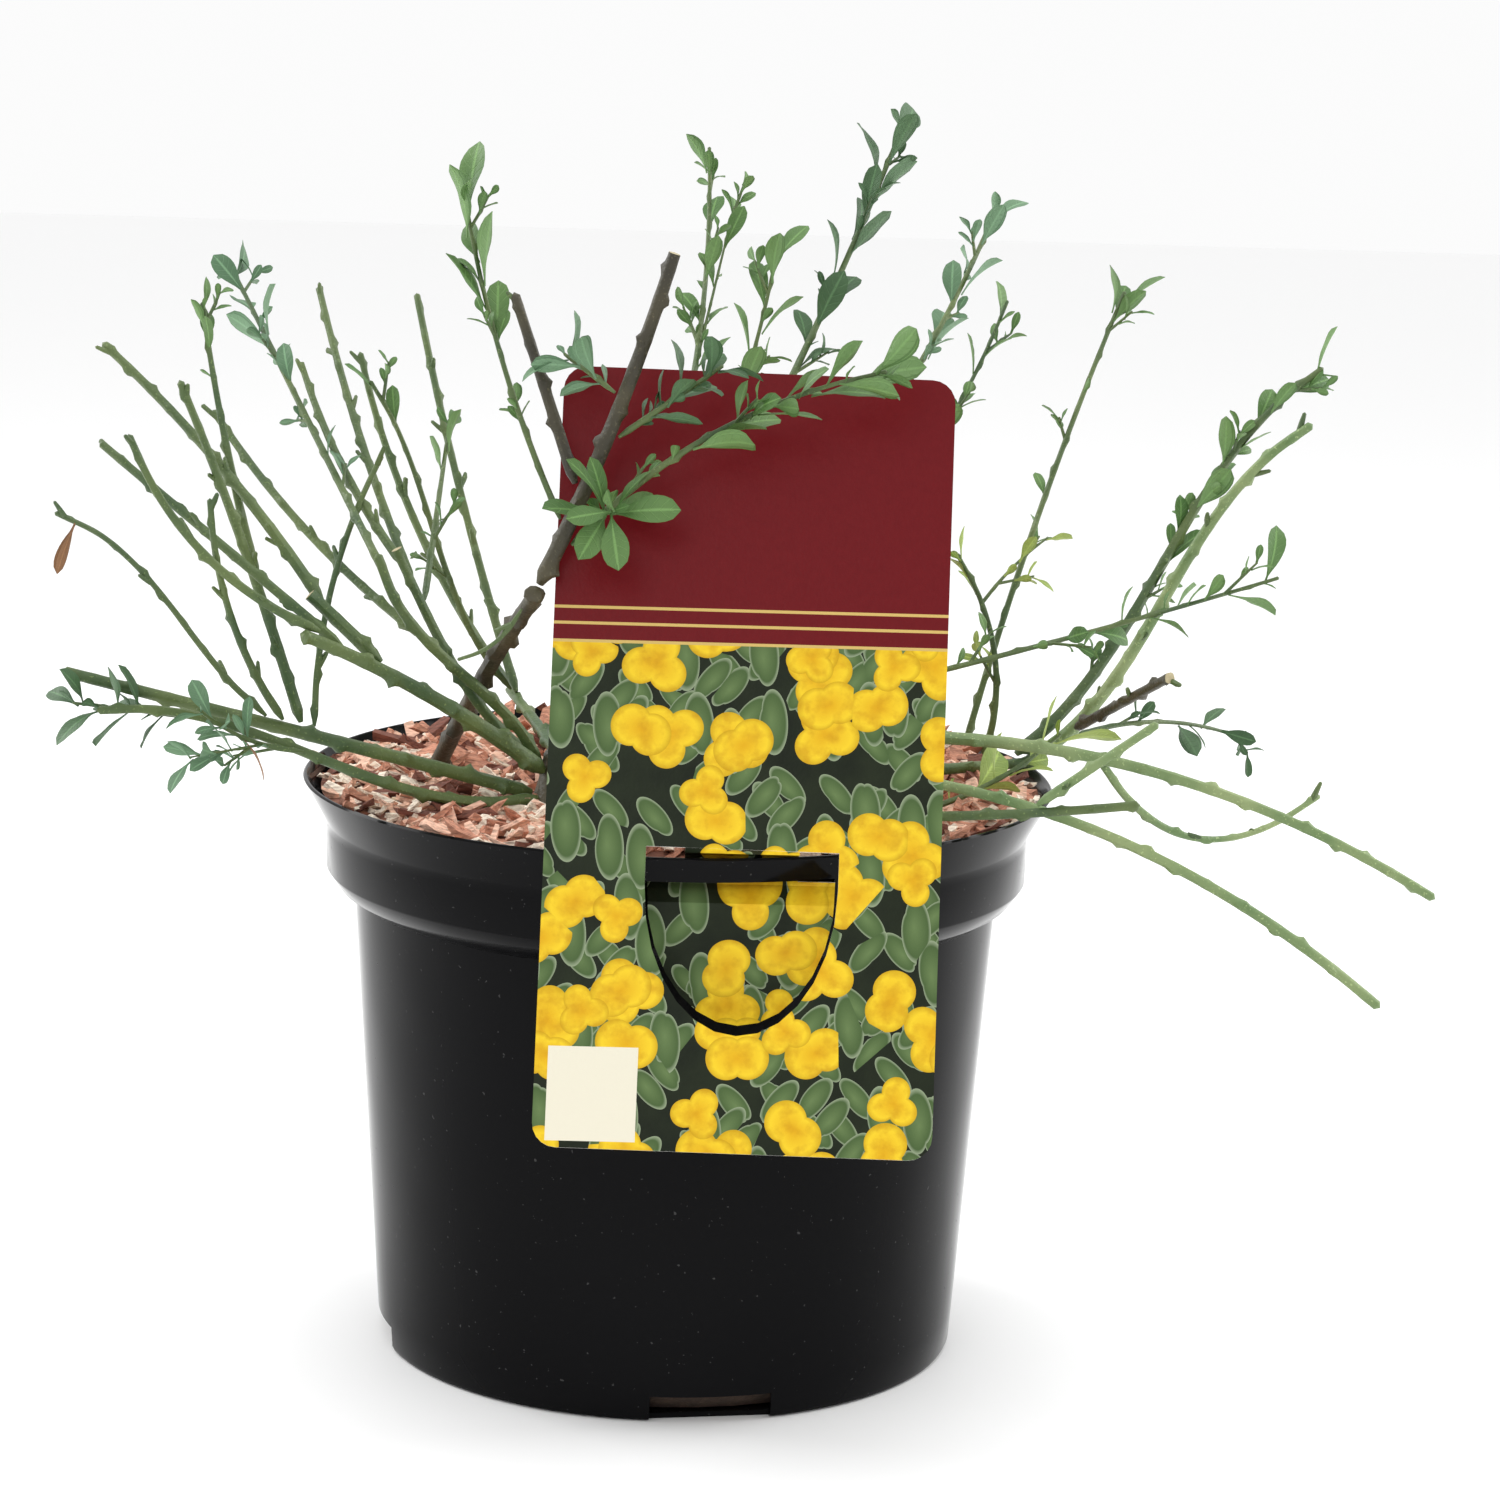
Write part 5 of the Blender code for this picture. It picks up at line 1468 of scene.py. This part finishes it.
# %% Fine twigs and spurs
# A kind of shoot has a spacing, a least and a greatest length, and its radii from foot to tip.
Shoot = namedtuple("Shoot", "step shortest longest radii")
FINE_TWIG = Shoot(15.0, 5.0, 9.0, (0.42, 0.36, 0.24))
SPUR = Shoot(13.0, 2.2, 4.2, (0.75, 0.6, 0.42))
SHOOT_SIDES = 6
SHOOT_SPREAD = 42
SHOOT_MARGIN = 1.3
SHOOT_LEAN = 0.2
SHOOT_BEND = 0.3
SHOOT_LEAVES = Leafy(4, 0.45, 0.98, 3.5, 6.0, 48)
FINE_TWIG_FIRST = 0.45
FINE_TWIG_LAST = 0.92
SPUR_RANGE = (0.2, 0.97)


def fine_shoots(parts, owner, stem, kind, first, last):
    """Grows thin shoots along a limb, and gives each one's path back with the dice that made it."""
    dice = random.Random(stem + "_shoots")
    points, _ = plant.limbs[stem]
    count = int(path_length(points) * (last - first) / kind.step)
    rule = Leafy(count, first, last, kind.shortest, kind.longest, SHOOT_SPREAD)
    for i, place in enumerate(leaf_turns(rule, dice)):
        root, direction = along(points, place["share"])
        points_to, _ = leaf_axes(direction, place["turn"], place["spread"], place["roll"])
        if room.holds(owner, root, points_to, place["length"] * SHOOT_MARGIN):
            tip = root + (points_to + direction * SHOOT_LEAN) * place["length"]
            path = [root, root.lerp(tip, 0.5) + points_to * SHOOT_BEND, tip]
            limb_rings(parts, f"{stem}_shoot_{i}", path, kind.radii, SHOOT_SIDES)
            yield path, dice


shoot_parts = MeshParts()
spur_parts = MeshParts()
shoot_count = 0
for name, tint, stem, rule in stems:
    for path, dice in fine_shoots(
        shoot_parts, name, stem, FINE_TWIG, FINE_TWIG_FIRST * rule.first, FINE_TWIG_LAST
    ):
        shoot_count += 1
        for place in leaf_turns(SHOOT_LEAVES, dice):
            try_leaf(name, tint, dice, path, place, place["turn"])
for name, *_ in CANES:
    shoot_count += len(list(fine_shoots(spur_parts, name, name, SPUR, *SPUR_RANGE)))
print(shoot_count, "fine twigs and spurs")
add_piece("fine_shoots", shoot_parts.mesh("fine_shoots"), BARKS["green"], "leaf_green")
add_piece("spurs", spur_parts.mesh("spurs"), BARKS["green"], "cane_bark")

# %% [markdown]
# The leaves of one tint are one piece, which takes the place of the solid sprays of that tint. Two dead
# leaves are still on the plant. They are brown and narrow, and are made by the same function.

# %% Leaf pieces
DEAD_LEAF_SLIM = 0.6
DEAD_LEAF_ROLL = 25
# A dead leaf has its limb, a share of that limb's length, a turn, a spread and a length.
DEAD_LEAVES = [
    ("cane_left_thin", 0.93, 95, 95, 12),
    ("spray_left_low", 0.5, 130, 115, 10),
]

for tint, paint in leaf_paints.items():
    name = f"leaves_{tint}"
    add_piece(name, leaf_parts[tint].mesh(name), paint, "leaf_green", *leaf_nodes[tint])
add_piece("twigs", twig_parts.mesh("twigs"), BARKS["green"], "leaf_green")

brown = MeshParts()
for limb, share, turn, spread, length in DEAD_LEAVES:
    points, _ = plant.limbs[limb]
    root, direction = along(points, share)
    points_to, across = leaf_axes(direction, turn, spread, DEAD_LEAF_ROLL)
    add_leaf(brown, random.Random(limb), root, points_to, across, length, DEAD_LEAF_SLIM)
brown_paint = leaf_paint("leaf_brown", (0.13, 0.055, 0.018), (0.24, 0.11, 0.04))
add_piece("leaves_brown", brown.mesh("leaves_brown"), brown_paint, "leaf_green")

# %% [markdown]
# The finished part should keep to the solid's box. Here the scene is only brought up to date.

# %% Bring the scene up to date
bpy.context.view_layer.update()
